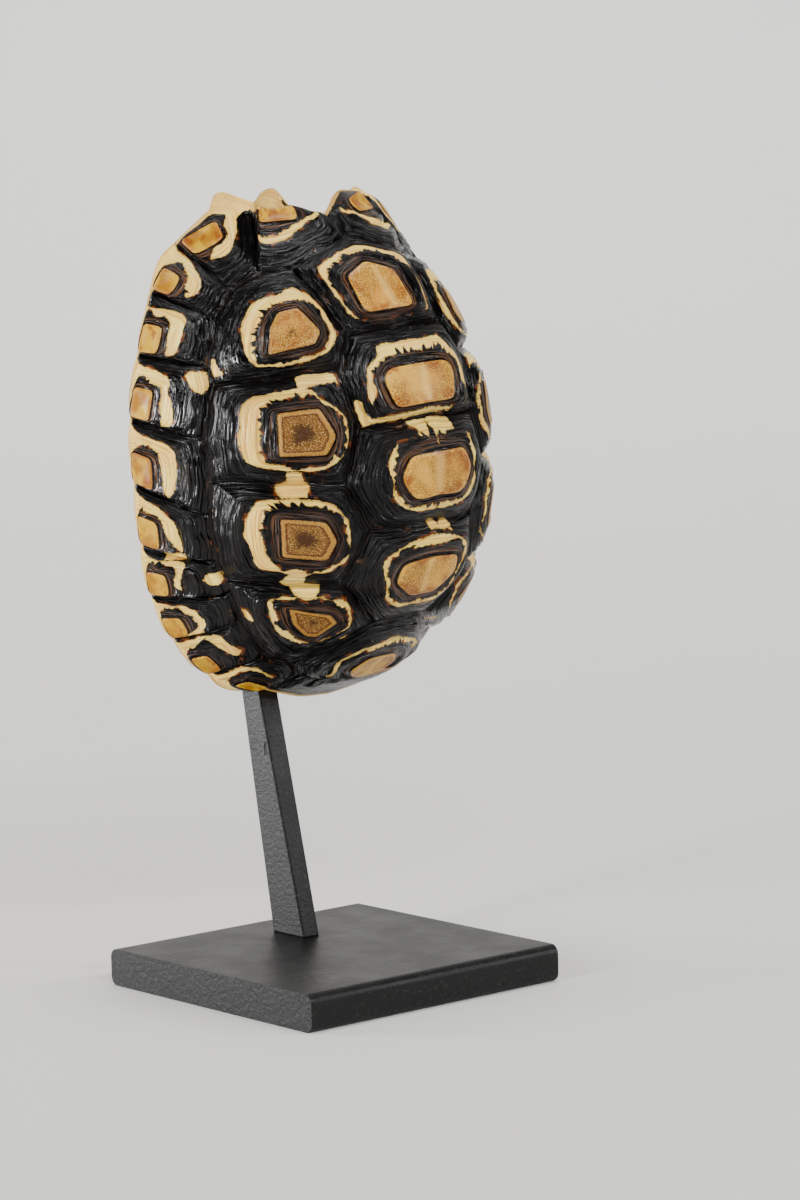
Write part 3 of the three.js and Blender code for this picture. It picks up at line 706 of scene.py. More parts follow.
def add_scute(mesh, number, name, inner, outer, outer_heights, stations, first_front=1.0):
    """Lays growth rings between a scute's areola and its seam, and fills the areola."""
    big = name in VERTEBRALS or name in COSTALS
    shares = growth_shares(BIG_RINGS if big else MARGINAL_RINGS)
    outward = loop_area(outer) > 0
    t = shares[:, None]
    inner = round_blur(inner, 1 if name in COSTALS else 2)
    loops = growth_loops(inner, outer, t, 3 if big else 2)
    reach = np.linalg.norm(outer - inner, axis=1)
    growth = float(reach.mean())
    age = np.broadcast_to(t * growth, loops.shape[:-1])
    travelled, circle = way_round((inner + outer) / 2)
    start, end, teeth = growth_bands(name, stations)
    dark = -nearest_mark(loops, mesh.marks["dark"])
    begun = np.minimum((t - start[None]) * reach[None], dark)
    left = (end[None] - t) * reach[None]
    mark = nearest_mark(loops, mesh.marks["pale"])
    bone, worn = bare_bone(mesh, loops)
    teeth = np.minimum(teeth, np.maximum(end - start, 0.0) * reach * 0.42)
    teeth = np.broadcast_to(teeth[None], loops.shape[:-1])

    top = sizes().areola_height / MM if big else 0.5 * sizes().areola_height / MM
    power = 3.0 if big else 5.0
    share = 0.9 * (1 - t ** power) + 0.1 * (1 - smooth_step(t / 0.05))
    height = SEAM_HEIGHT + (top - SEAM_HEIGHT) * share
    height = np.broadcast_to(height, loops.shape[:-1]).copy()
    distance = t * reach[None]
    to_seam = (1 - t) * reach[None]
    if not big:
        front = smooth_step((stations - first_front) / 0.04) * smooth_step((reach - 2.0) / 2.0)
        roll = np.sin(np.clip(to_seam / FRONT_ROLL_WIDTH, 0, 1) * math.pi) ** 0.7
        roll *= 1 - 0.8 * smooth_step((loops[..., 1] - 38.0) / 12.0)
        height += FRONT_ROLL_HEIGHT * front[None] * roll
    calm = smooth_step((distance - 1.6) / 1.0) * smooth_step(to_seam / 1.0)
    quiet = np.clip(reach[None] / 6.0, 0.2, 1.0)
    pale = smooth_step(np.minimum(begun, left) / 0.8)
    ridges = ridge_height(age, travelled[None], reach[None], number)
    height += ridges * calm * quiet * (1 - 0.65 * pale)
    height += close_rings(distance) * quiet * smooth_step((1 - t) / 0.2)
    height[-1] = outer_heights
    if not big:
        toward_rim = np.asarray(outer_heights) > SEAM_HEIGHT + 0.01
        slope = top * (1 - smooth_step((t - 0.1) / 0.9))
        height = np.where(toward_rim[None], slope, height)
        height[-1] = outer_heights
    height = height * (1 - worn) + BARE_BONE_HEIGHT * worn

    ring = np.stack(
        [
            np.broadcast_to(circle[:, 0], age.shape),
            np.broadcast_to(circle[:, 1], age.shape),
            age + number * RING_GAP,
        ],
        axis=-1,
    )
    index = mesh.add_points(
        placed(loops, height),
        ring=ring,
        begun=begun,
        left=left,
        mark=mark,
        teeth=teeth,
        areola=-distance,
        spot=0.0,
        bone=bone,
        seam=to_seam,
    )
    for k in range(1, len(index)):
        mesh.add_strip(index[k - 1], index[k], outward)
    add_areola(mesh, number, name, inner, index[0], circle, top, outward, big)


def add_areola(mesh, number, name, inner, edge, circle, top, outward, big):
    """The scute's young centre: a raised border around a shallow dish."""
    middle = inner.mean(axis=0)
    count = BIG_AREOLA_RINGS if big else MARGINAL_AREOLA_RINGS
    size = float(np.linalg.norm(inner - middle, axis=1).mean())
    scales = np.append(1 - np.arange(1, count) / count, 0.0)
    previous = edge
    for scale in scales:
        loop = middle + (inner - middle) * scale if scale else middle[None]
        depth = (1 - scale) * size
        dish = 0.14 * np.exp(-(((depth - 0.5) / 0.3) ** 2)) - 0.2 * smooth_step(depth / size)
        bone, worn = bare_bone(mesh, loop)
        height = (top + dish) * (1 - worn) + BARE_BONE_HEIGHT * worn
        spot = circle[: len(loop)] * scale
        # Painted highlight: on a vertebral, a pale streak along the middle of the areola stands in for
        # the shine on its low keel.
        painted_keel_highlight = NO_MARK
        if name in VERTEBRALS:
            painted_keel_highlight = 1.0 - np.abs(loop[:, 0] - AREOLA_ASIDE[name] / 2)
        index = mesh.add_points(
            placed(loop, height),
            ring=np.column_stack([spot, np.full(len(loop), number * RING_GAP)]),
            begun=OUTSIDE_BAND,
            left=OUTSIDE_BAND,
            mark=painted_keel_highlight,
            teeth=0.0,
            areola=depth,
            spot=CENTRE_SPOTS.get(name, 0.0) if big else -1.0,
            bone=bone,
            seam=FAR,
        )
        if scale:
            mesh.add_strip(index, previous, outward)
        else:
            mesh.add_fan(index[0], previous, outward)
        previous = index


# ---- Assembling the shell -----------------------------------------------------------------


def both_halves(rows, aside):
    """The corners all round a vertebral: the middle one, if any, the right half, the left."""
    places = [(name, areola[0], areola[1]) for name, areola in rows]
    middle = [(name, (aside, along)) for name, _, along in places if name in MIDLINE]
    sided = [row for row in places if row[0] not in MIDLINE]
    right = [("R " + name, (aside + across, along)) for name, across, along in sided]
    left = [("L " + name, (aside - across, along)) for name, across, along in reversed(sided)]
    return middle + right + left


def half_stations(turn, corners):
    """Folds the place around a vertebral, in corners, onto one of its halves."""
    half = corners // 2
    if corners % 2:
        return np.where(turn <= half + 0.5, turn - 1, 2 * half - turn)
    back = np.where(turn <= corners - 0.5, corners - 1 - turn, turn - corners)
    return np.where(turn <= half - 0.5, turn, back)


def spread_between(values, starts, total):
    """Runs values given at some points of a closed loop evenly from one to the next."""
    stops = list(starts) + [total]
    pieces = []
    for k, (a, b) in enumerate(zip(stops, stops[1:])):
        shares = np.arange(b - a)[:, None] / (b - a)
        first = np.atleast_1d(np.asarray(values[k], float))
        second = np.atleast_1d(np.asarray(values[(k + 1) % len(values)], float))
        pieces.append(first + (second - first) * shares)
    return np.vstack(pieces)


def add_big_scute(mesh, number, name, corners):
    firsts = [i for i, corner in enumerate(corners) if corner[1] is not None]
    outer = []
    starts = []
    for k, first in enumerate(firsts):
        last = firsts[(k + 1) % len(firsts)]
        stops = [corners[first][0]]
        i = first
        while i != last:
            i = (i + 1) % len(corners)
            stops.append(corners[i][0])
        starts.append(sum(len(points) for points in outer))
        outer += [seam(a, b) for a, b in zip(stops, stops[1:])]
    outer = np.vstack(outer)
    total = len(outer)
    inner = spread_between([corners[i][1] for i in firsts], starts, total)
    stations = np.arange(total) / total
    if name in VERTEBRALS:
        turn = np.interp(np.arange(total), starts + [total], np.arange(len(starts) + 1))
        stations = half_stations(turn, len(starts))
    add_scute(mesh, number, name, inner, outer, np.full(total, SEAM_HEIGHT), stations)


def add_marginal(mesh, number, name, rim, inner_edge, back_seam, front_seam):
    edges = [rim, back_seam, inner_edge, front_seam]
    outer = np.vstack(edges)
    corner = [edge[0] for edge in edges]

    def at(along, up):
        low = corner[0] + (corner[1] - corner[0]) * along
        high = corner[3] + (corner[2] - corner[3]) * along
        return low + (high - low) * up

    lay = MARGINAL_AREOLA
    areola = [
        at(lay["ahead"], lay["outer"]),
        at(lay["behind"], lay["outer"]),
        at(lay["behind"], lay["inner"]),
        at(lay["ahead"], lay["inner"]),
    ]
    starts = np.cumsum([0] + [len(edge) for edge in edges[:-1]])
    inner = spread_between(areola, starts, len(outer))
    heights = np.where(np.arange(len(outer)) <= len(rim), 0.0, SEAM_HEIGHT)
    stations = np.arange(len(outer)) / len(outer)
    add_scute(mesh, number, name, inner, outer, heights, stations, starts[3] / len(outer))


def marginal_edge_key(index, side):
    if index < 2:
        return ("left" if side == "L" else "right") + " m%d" % (index + 1)
    return "m%d" % (index + 1)


def rim_of_side(side):
    pieces = []
    for index, (front, back, _) in enumerate(MARGINALS):
        key = marginal_edge_key(index, side)
        pieces.append(free_edge(on_side(front, side), on_side(back, side), side, key))
    pieces.append(free_edge(on_side("r11", side), "tail", side, "tail"))
    return pieces


def on_both_sides(marks, right_shift):
    """Outlines given towards the animal's left, and the same on the right, a little moved."""
    left = [[(-across, along) for across, along in marks[name]] for name in marks]
    shift = np.array(right_shift)
    paired = [marks[name] for name in marks if min(across for across, _ in marks[name]) > 2]
    right = [[tuple(np.array(point) + shift) for point in outline] for outline in paired]
    return left + right


def gather_shell():
    mesh = ShellMesh()
    mesh.marks = {
        "pale": on_both_sides(PALE_MARKS, (0.5, -0.7)),
        "dark": on_both_sides(DARK_SPOTS, (0.6, 1.1)),
        "bone": [[(-across, along) for across, along in corners] for corners in BARE_BONE.values()],
    }
    rims = {side: rim_of_side(side) for side in "LR"}
    left = np.vstack(rims["L"])
    right = np.vstack(rims["R"])
    loop = np.vstack([left, junction("tail")[None], right[1:][::-1]])
    mesh.rim_path = np.vstack([loop, loop[:1]])

    number = 0
    for name, rows in VERTEBRALS.items():
        number += 1
        add_big_scute(mesh, number, name, both_halves(rows, AREOLA_ASIDE[name]))
    for side in "LR":
        sign = -1 if side == "L" else 1
        for name, rows in COSTALS.items():
            number += 1
            corners = [
                (side + " " + place, areola and (sign * areola[0], areola[1]))
                for place, areola in rows
            ]
            add_big_scute(mesh, number, name, corners)
        for index, (front, back, names) in enumerate(MARGINALS):
            number += 1
            inner_names = [on_side(name, side) for name in names][::-1]
            inner_edge = np.vstack([seam(a, b) for a, b in zip(inner_names, inner_names[1:])])
            add_marginal(
                mesh,
                number,
                "m%d" % (index + 1),
                rims[side][index],
                inner_edge,
                seam(on_side(back, side), inner_names[0]),
                seam(inner_names[-1], on_side(front, side)),
            )
    tail_rim = np.vstack([rims["L"][-1], junction("tail")[None], rims["R"][-1][1:][::-1]])
    add_marginal(
        mesh,
        number + 1,
        "tail",
        tail_rim,
        seam("R v5_rear", "L v5_rear"),
        seam("R r11", "R v5_rear"),
        seam("L v5_rear", "L r11"),
    )
    add_inside(mesh, loop)
    return mesh


def wall_thickness(places):
    from_tail = np.degrees(np.arctan2(np.abs(places[..., 0]), -places[..., 1]))
    to_rim = np.hypot(places[..., 0] / GIRTH_SIDE, places[..., 1] / GIRTH_END)
    tail = smooth_step((TAIL_MARGIN_ONSET[0] - from_tail) / TAIL_MARGIN_ONSET[1])
    tail = tail * smooth_step((to_rim - 0.55) / 0.2)
    return sizes().bone_thickness / MM + TAIL_MARGIN * tail


def add_inside(mesh, loop):
    """The rounded edge of the rim and the smooth inner face of the bone."""
    size = sizes()
    shares = [1.0, 1.0, 0.99, 0.975, 0.95, 0.91, 0.86, 0.8, 0.73, 0.65, 0.56, 0.46, 0.35, 0.24, 0.12]
    depths = [0.35, 0.82, 0.97] + [1.0] * (len(shares) - 3)
    flat = np.zeros((len(loop), 1))
    previous = mesh.add_points(
        placed(loop, flat[:, 0]), ring=np.hstack([loop, flat]), bone=2.0, **INNER_FACE
    )
    for q, depth in zip(shares, depths):
        places = loop * q
        index = mesh.add_points(
            placed(places, -wall_thickness(places) * depth),
            ring=np.hstack([places, flat]),
            bone=6.0,
            **INNER_FACE,
        )
        mesh.add_strip(previous, index, True, inside=True)
        previous = index
    hub = mesh.add_points(
        placed(np.zeros((1, 2)), np.array([-size.bone_thickness / MM])),
        ring=(0.0, 0.0, 0.0),
        bone=6.0,
        **INNER_FACE,
    )
    mesh.add_fan(hub[0], previous, False, inside=True)


def mesh_from(gathered, name):
    """Welds the gathered points and writes the corner data as mesh attributes."""
    points = np.vstack(gathered.places)
    keys = np.round(points * 1e6).astype(np.int64)
    _, first, same = np.unique(keys, axis=0, return_index=True, return_inverse=True)
    same = same.reshape(-1)
    faces = np.vstack(gathered.faces)
    data = bpy.data.meshes.new(name)
    corners = []
    polygons = []
    inside = []
    for quad, is_inside in zip(faces, gathered.inside):
        kept = []
        for corner in quad:
            if not kept or same[corner] not in (same[kept[-1]], same[kept[0]]):
                kept.append(int(corner))
        if len(kept) >= 3:
            polygons.append([int(same[c]) for c in kept])
            corners += kept
            inside.append(is_inside)
    data.from_pydata(points[first].tolist(), [], polygons)
    for key, rows in gathered.data.items():
        values = np.vstack(rows)[corners]
        kind = "FLOAT_VECTOR" if key == "ring" else "FLOAT"
        attribute = data.attributes.new("growth_" + key, kind, "CORNER")
        attribute.data.foreach_set("vector" if key == "ring" else "value", values.ravel())
    data.polygons.foreach_set("material_index", np.array(inside, int))
    data.polygons.foreach_set("use_smooth", np.ones(len(polygons), bool))
    data.update()
    return data


# ---- The post -----------------------------------------------------------------------------

# Along the post: its front edge and its back edge, each Y and Z, its thickness and the
# rounding of its edges.
POST_LEFT = 1.0
POST_SECTIONS = [
    ((10.9, 7.75), (21.2, 7.75), 4.25, 0.4),
    ((25.66, 66.0), (31.56, 69.27), 5.1, 0.4),
    ((7.24, 72.7), (-0.3, 80.86), 5.1, 1.0),
]
# A tool mark on the post's left face.
GOUGE = (1.0, 22.1, 46.6)
# A rounded edge's points, and the extra points beside it and extra rows near the bends and
# ends, which keep the sides flat: in millimetres and in shares of the length.
EDGE_SUPPORT = 0.3
EDGE_POINTS = 6
FOOT_SUPPORT = 0.006
ELBOW_SUPPORT = (0.01, 0.03)
ARM_END_SUPPORT = 0.02


def post_outline(front, back, thick, radius):
    """Around the bar, between a place on its front edge and one on its back edge."""
    front = np.array(front)
    back = np.array(back)
    width = np.linalg.norm(back - front)
    right = POST_LEFT + thick
    corners = [
        (right - radius, radius, -90),
        (right - radius, width - radius, 0),
        (POST_LEFT + radius, width - radius, 90),
        (POST_LEFT + radius, radius, 180),
    ]
    points = []
    for middle_x, middle_w, start in corners:
        turns = np.radians(start + np.linspace(0, 90, EDGE_POINTS))
        x = middle_x + radius * np.cos(turns)
        w = middle_w + radius * np.sin(turns)
        before = (x[0] + EDGE_SUPPORT * np.sin(turns[0]), w[0] - EDGE_SUPPORT * np.cos(turns[0]))
        after = (x[-1] - EDGE_SUPPORT * np.sin(turns[-1]), w[-1] + EDGE_SUPPORT * np.cos(turns[-1]))
        points += [before, *zip(x, w), after]
    x, w = np.array(points).T
    side = front + (back - front) * (w / width)[:, None]
    return np.column_stack([x, side])


def post_mesh():
    """The flat bar from the base to its mitred elbow and on to the end of its arm."""
    foot, elbow, arm_end = [post_outline(*section) for section in POST_SECTIONS]
    rows = [
        foot,
        foot + (elbow - foot) * FOOT_SUPPORT,
        elbow + (foot - elbow) * ELBOW_SUPPORT[0],
        elbow,
        elbow + (arm_end - elbow) * ELBOW_SUPPORT[1],
        arm_end + (elbow - arm_end) * ARM_END_SUPPORT,
        arm_end,
    ]
    count = len(foot)
    faces = [list(range(count))[::-1]]
    for k in range(1, len(rows)):
        low, high = (k - 1) * count, k * count
        for i in range(count):
            j = (i + 1) % count
            faces.append([low + i, low + j, high + j, high + i])
    faces.append([(len(rows) - 1) * count + i for i in range(count)])
    data = bpy.data.meshes.new("post_bar")
    data.from_pydata((np.vstack(rows) * MM).tolist(), [], faces)
    smooth = np.ones(len(faces), bool)
    smooth[0] = smooth[-1] = False
    data.polygons.foreach_set("use_smooth", smooth)
    return data


# ---- Materials ----------------------------------------------------------------------------


class Finish:
    """A material's node tree, with short calls for the nodes that these finishes use."""

    def __init__(self, name):
        self.material = bpy.data.materials.new(name)
        self.material.use_nodes = True
        self.tree = self.material.node_tree
        self.tree.nodes.clear()
        self.shader = self.tree.nodes.new("ShaderNodeBsdfPrincipled")
        output = self.tree.nodes.new("ShaderNodeOutputMaterial")
        self.tree.links.new(self.shader.outputs[0], output.inputs[0])

    def put(self, socket, value):
        if isinstance(value, bpy.types.NodeSocket):
            self.tree.links.new(value, socket)
        else:
            socket.default_value = value

    def node(self, kind, inputs=None, **settings):
        made = self.tree.nodes.new(kind)
        for name, value in settings.items():
            setattr(made, name, value)
        for key, value in (inputs or {}).items():
            self.put(made.inputs[key], value)
        return made

    def attribute(self, name, output="Fac"):
        return self.node("ShaderNodeAttribute", attribute_name="growth_" + name).outputs[output]

    def place(self):
        return self.node("ShaderNodeTexCoord").outputs["Object"]

    def math(self, operation, a, b=0.0):
        return self.node("ShaderNodeMath", {0: a, 1: b}, operation=operation).outputs[0]

    def add(self, a, b):
        return self.math("ADD", a, b)

    def times(self, a, b):
        return self.math("MULTIPLY", a, b)

    def stretch(self, vector, scale, offset=(0, 0, 0)):
        return self.node(
            "ShaderNodeMapping", {"Vector": vector, "Scale": scale, "Location": offset}
        ).outputs[0]

    def noise(self, vector, scale, detail=2.0, roughness=0.5, distortion=0.0):
        inputs = {
            "Vector": vector,
            "Scale": scale,
            "Detail": detail,
            "Roughness": roughness,
            "Distortion": distortion,
        }
        return self.node("ShaderNodeTexNoise", inputs).outputs[0]

    def cells(self, vector, scale, feature="F1"):
        inputs = {"Vector": vector, "Scale": scale}
        return self.node("ShaderNodeTexVoronoi", inputs, feature=feature).outputs["Distance"]

    def fade(self, value, low, high, out_low=0.0, out_high=1.0):
        inputs = {0: value, 1: low, 2: high, 3: out_low, 4: out_high}
        made = self.node("ShaderNodeMapRange", inputs, interpolation_type="SMOOTHSTEP")
        return made.outputs[0]

    def mix(self, share, a, b, kind="RGBA"):
        made = self.node("ShaderNodeMix", data_type=kind)
        self.put(made.inputs["Factor"], share)
        self.put(made.inputs["A"], a)
        self.put(made.inputs["B"], b)
        return made.outputs["Result"]

    def mix_value(self, share, a, b):
        return self.mix(share, a, b, "FLOAT")

    def bump(self, height, strength, distance):
        inputs = {"Height": height, "Strength": strength, "Distance": distance}
        return self.node("ShaderNodeBump", inputs).outputs[0]

    def finish(self, **sockets):
        for name, value in sockets.items():
            self.put(self.shader.inputs[name.replace("_", " ").title()], value)
        return self.material


def srgb(red, green, blue):
    """A linear colour with alpha, from 8-bit display values."""
    values = [channel / 255 for channel in (red, green, blue)]
    linear = [c / 12.92 if c <= 0.04045 else ((c + 0.055) / 1.055) ** 2.4 for c in values]
    return (*linear, 1.0)


def with_alpha(colour):
    return (*colour, 1.0)


def bone_colour(finish):
    place = finish.place()
    pores = finish.noise(place, 900.0, 3.0, 0.6)
    clouds = finish.noise(place, 90.0, 4.0, 0.6)
    bone = with_alpha(sizes().bone_colour)
    tan = finish.mix(finish.fade(clouds, 0.35, 0.7), bone, srgb(204, 152, 78))
    return finish.mix(finish.times(finish.fade(pores, 0.5, 0.75), 0.3), tan, srgb(150, 110, 66))


def inner_bone_material():
    finish = Finish("inner_bone")
    place = finish.place()
    colour = bone_colour(finish)
    stain = finish.noise(place, 35.0, 5.0, 0.65)
    colour = finish.mix(finish.fade(stain, 0.4, 0.7, 0.12, 0.6), colour, srgb(128, 92, 56))
    grain = finish.noise(place, 700.0, 4.0, 0.65)
    sutures = finish.cells(place, 58.0, "DISTANCE_TO_EDGE")
    zigzag = finish.add(finish.noise(place, 520.0, 2.0, 0.6), -0.5)
    sutures = finish.add(sutures, finish.times(zigzag, 0.09))
    suture = finish.fade(sutures, 0.03, 0.0, 0.0, 0.3)
    colour = finish.mix(suture, colour, srgb(104, 68, 38))
    dents = finish.noise(place, 120.0, 3.0, 0.5)
    normal = finish.bump(finish.add(grain, finish.times(dents, 2.0)), 0.35, 0.0003)
    roughness = finish.fade(grain, 0.3, 0.7, 0.62, 0.82)
    return finish.finish(Base_Color=colour, Roughness=roughness, Normal=normal)


def toothed_field(finish, ring):
    """How far into pale horn a point is, with ragged ends and dark teeth, negative outside."""
    begun = finish.attribute("begun")
    left = finish.attribute("left")
    mark = finish.attribute("mark")
    teeth = finish.attribute("teeth")
    fray = finish.add(finish.noise(finish.stretch(ring, (1.0, 1.0, 0.5)), 1.5, 4.0, 0.65), -0.5)
    drift = finish.add(finish.noise(ring, 0.3, 2.0, 0.5), -0.5)
    spikes = finish.cells(finish.stretch(ring, (1.0, 1.0, 0.08)), 0.85)
    spikes = finish.math("MAXIMUM", finish.add(1.2, finish.times(spikes, -1.8)), 0.0)
    begun = finish.add(begun, finish.times(finish.times(spikes, teeth), -1.7))
    begun = finish.add(begun, finish.times(finish.times(fray, finish.add(teeth, 0.5)), -1.0))
    left = finish.add(left, finish.times(fray, 0.8))
    band = finish.add(finish.math("MINIMUM", begun, left), finish.times(drift, 0.95))
    mark = finish.add(mark, finish.times(fray, 1.0))
    return finish.math("MAXIMUM", band, mark)


def growth_horn(finish, ring, lines, hairlines, wear):
    """Black and pale horn with their fringes and the coloured rings by the areola."""
    size = sizes()
    areola = finish.attribute("areola")
    toothed = toothed_field(finish, ring)
    black = finish.mix(
        finish.fade(lines, 0.56, 0.7, 0.0, 0.3), with_alpha(size.dark_colour), srgb(20, 14, 11)
    )
    black = finish.mix(finish.fade(wear, 0.66, 0.8, 0.0, 0.3), black, srgb(74, 40, 20))
    near_seam = finish.fade(finish.attribute("seam"), 1.7, 0.5)
    amber = finish.fade(finish.noise(finish.place(), 280.0, 4.0, 0.65), 0.6, 0.7, 0.0, 0.7)
    black = finish.mix(finish.times(amber, near_seam), black, srgb(92, 58, 30))
    cream = with_alpha(size.pale_colour)
    warm = finish.fade(finish.noise(ring, 0.18, 2.0), 0.42, 0.62, 0.0, 0.6)
    cream = finish.mix(warm, cream, srgb(244, 190, 98))
    cream = finish.mix(finish.fade(hairlines, 0.5, 0.6, 0.0, 0.75), cream, srgb(186, 126, 46))
    cream = finish.mix(finish.fade(lines, 0.54, 0.68, 0.0, 0.6), cream, srgb(255, 232, 160))

    patchy = finish.noise(ring, 0.5, 2.0, 0.5)
    stained = finish.fade(patchy, 0.5, 0.66)
    width = finish.mix_value(stained, -0.1, -1.0)
    brown = finish.mix(stained, srgb(34, 14, 6), srgb(112, 56, 20))
    fringe = finish.mix(finish.fade(toothed, width, -0.02), black, brown)
    horn = finish.mix(finish.fade(toothed, finish.mix_value(stained, 0.0, -0.1), 0.16), fringe, cream)

    close_lines = finish.mix(finish.fade(hairlines, 0.54, 0.6), srgb(7, 4, 4), srgb(104, 82, 72))
    tan_lines = finish.noise(finish.stretch(ring, (0.06, 0.06, 3.4), (3, 1, 2)), 1.0, 1.0)
    tan_share = finish.fade(tan_lines, 0.57, 0.63, 0.0, 0.8)
    close_lines = finish.mix(tan_share, close_lines, srgb(116, 74, 42))
    close = finish.times(finish.fade(areola, -2.4, -1.2), finish.fade(toothed, 0.1, -0.2, 0.0, 0.85))
    horn = finish.mix(close, horn, close_lines)
    edge = finish.times(finish.fade(areola, -0.5, -0.3), finish.fade(areola, 0.1, -0.05))
    return finish.mix(finish.times(edge, 0.9), horn, srgb(14, 6, 3)), toothed


def young_horn(finish, ring, place):
    """The areola: a smooth golden border around granular horn, some with a dark centre."""
    areola = finish.attribute("areola")
    spot = finish.attribute("spot")
    has_spot = finish.fade(spot, 0.1, 0.4)
    on_rim = finish.fade(spot, -0.3, -0.7)
    plain = finish.fade(finish.math("ABSOLUTE", finish.add(spot, -CENTRE_SPOTS["c1"])), 0.05, 0.1)
    browned = finish.times(has_spot, finish.fade(plain, 0.0, 1.0, 0.3, 1.0))
    grains = finish.cells(place, 3000.0)
    mottle = finish.noise(place, 150.0, 3.0, 0.6)
    tan = with_alpha(sizes().areola_colour)
    young = finish.mix(finish.fade(mottle, 0.45, 0.66, 0.0, 0.6), tan, srgb(196, 124, 24))
    young = finish.mix(finish.times(browned, 0.85), young, srgb(156, 110, 50))
    edge_stain = finish.times(finish.fade(areola, 3.2, 0.6), finish.fade(mottle, 0.43, 0.57))
    edge_stain = finish.times(edge_stain, finish.fade(browned, 0.0, 1.0, 0.9, 0.35))
    young = finish.mix(edge_stain, young, srgb(140, 68, 8))
    patches = finish.fade(finish.noise(place, 120.0, 2.0, 0.5, 0.3), 0.38, 0.58, 0.3, 0.9)
    grained = finish.mix_value(browned, patches, 1.0)
    grained = finish.times(grained, finish.fade(on_rim, 0.0, 1.0, 1.0, 0.0))
    darker = finish.times(finish.fade(grains, 0.35, 0.6, 0.0, 0.8), grained)
    young = finish.mix(darker, young, finish.mix(browned, srgb(118, 66, 12), srgb(86, 54, 20)))
    lighter = finish.times(finish.fade(grains, 0.34, 0.12, 0.0, 0.85), grained)
    light = finish.mix(browned, srgb(255, 222, 128), srgb(232, 200, 124))
    young = finish.mix(lighter, young, light)

    flat = finish.stretch(ring, (1, 1, 0))
    from_middle = finish.node("ShaderNodeVectorMath", {0: flat}, operation="LENGTH").outputs["Value"]
    heading = finish.node("ShaderNodeVectorMath", {0: flat}, operation="NORMALIZE").outputs["Vector"]
    rays = finish.add(finish.noise(heading, 5.0, 2.0, 0.7), -0.5)
    speckle = finish.add(finish.noise(place, 1500.0, 2.0, 0.6), -0.5)
    within = finish.add(spot, finish.times(from_middle, -0.8))
    within = finish.add(within, finish.add(finish.times(rays, 5.0), finish.times(speckle, 4.0)))
    centre = finish.times(finish.fade(within, -0.6, 1.4, 0.0, 0.9), has_spot)
    young = finish.mix(centre, young, srgb(58, 28, 6))

    wide = finish.mix_value(has_spot, 0.3, 0.8)
    inner_edge = finish.fade(areola, wide, finish.add(wide, -0.15))
    border = finish.times(finish.fade(areola, 0.1, 0.25), inner_edge)
    border = finish.times(border, plain)
    edging = finish.mix(has_spot, srgb(222, 168, 62), srgb(160, 116, 44))
    young = finish.mix(finish.times(border, 0.85), young, edging)
    past_border = finish.fade(areola, wide, finish.add(wide, 0.1))
    outline = finish.times(finish.times(past_border, plain), finish.fade(areola, 1.3, 1.0))
    young = finish.mix(finish.times(outline, finish.times(has_spot, 0.85)), young, srgb(84, 40, 10))

    # Painted highlight: a pale streak along the middle of each vertebral's areola stands in for the
    # shine on its low keel, frayed by speckle and mottle.
    painted_keel_highlight = finish.add(finish.attribute("mark"), finish.times(speckle, 0.6))
    painted_keel_highlight = finish.add(painted_keel_highlight, finish.times(finish.add(mottle, -0.5), 1.6))
    young = finish.mix(finish.fade(painted_keel_highlight, -0.5, 1.1, 0.0, 0.42), young, srgb(255, 208, 112))
    gold = finish.mix(finish.fade(mottle, 0.42, 0.58), srgb(192, 148, 18), srgb(154, 102, 8))
    smudge = finish.fade(finish.noise(place, 260.0, 4.0, 0.6, 0.8), 0.53, 0.64, 0.0, 0.8)
    gold = finish.mix(smudge, gold, srgb(128, 62, 14))
    young = finish.mix(on_rim, young, gold)
    height = finish.times(finish.fade(grains, 0.6, 0.1), finish.fade(areola, 0.6, 1.2, 0.0, 0.3))
    return young, finish.times(height, grained)


def horn_material():
    finish = Finish("horn_scutes")
    ring = finish.attribute("ring", "Vector")
    areola = finish.attribute("areola")
    place = finish.place()
    lines = finish.noise(finish.stretch(ring, (0.05, 0.05, 2.4)), 1.0, 3.0, 0.6)
    hairlines = finish.noise(finish.stretch(ring, (0.06, 0.06, 6.0)), 1.0, 2.0, 0.6)
    wear = finish.noise(finish.stretch(ring, (0.5, 0.5, 1.2)), 1.0, 4.0, 0.6)

    horn, toothed = growth_horn(finish, ring, lines, hairlines, wear)
    young, grain_height = young_horn(finish, ring, place)
    colour = finish.mix(finish.fade(areola, -0.1, 0.08), horn, young)
    groove = finish.fade(finish.attribute("seam"), 0.4, 0.1)
    light_seam = finish.fade(toothed, 0.1, 0.4, 0.85, 0.3)
    colour = finish.mix(finish.times(groove, light_seam), colour, srgb(20, 13, 9))

    chips = finish.add(finish.noise(place, 600.0, 3.0), -0.5)
    ragged = finish.add(finish.attribute("bone"), finish.times(chips, 0.9))
    bare = finish.fade(ragged, -0.05, 0.12)
    colour = finish.mix(bare, colour, bone_colour(finish))

    shine = finish.fade(wear, 0.35, 0.7, 0.11, 0.25)
    shine = finish.mix_value(finish.fade(toothed, 0.0, 0.3), shine, 0.34)
    shine = finish.mix_value(finish.fade(areola, -0.1, 0.3), shine, 0.36)
    roughness = finish.mix_value(bare, shine, 0.62)
    folds = finish.noise(finish.stretch(ring, (0.08, 0.08, 1.4), (7, 3, 0)), 1.0, 2.0, 0.5)
    grooves = finish.fade(finish.math("ABSOLUTE", finish.add(folds, -0.5)), 0.0, 0.12)
    rings_height = finish.add(finish.times(lines, 0.5), finish.times(hairlines, 0.25))
    rings_height = finish.add(rings_height, finish.times(grooves, 0.4))
    rings_height = finish.times(rings_height, finish.fade(areola, 0.1, -0.2))
    rings_height = finish.times(rings_height, finish.fade(toothed, 0.0, 0.4, 1.0, 0.4))
    normal = finish.bump(finish.add(rings_height, grain_height), 1.0, 0.00075)
    finish.shader.inputs["Specular IOR Level"].default_value = 0.24
    return finish.finish(Base_Color=colour, Roughness=roughness, Normal=normal)


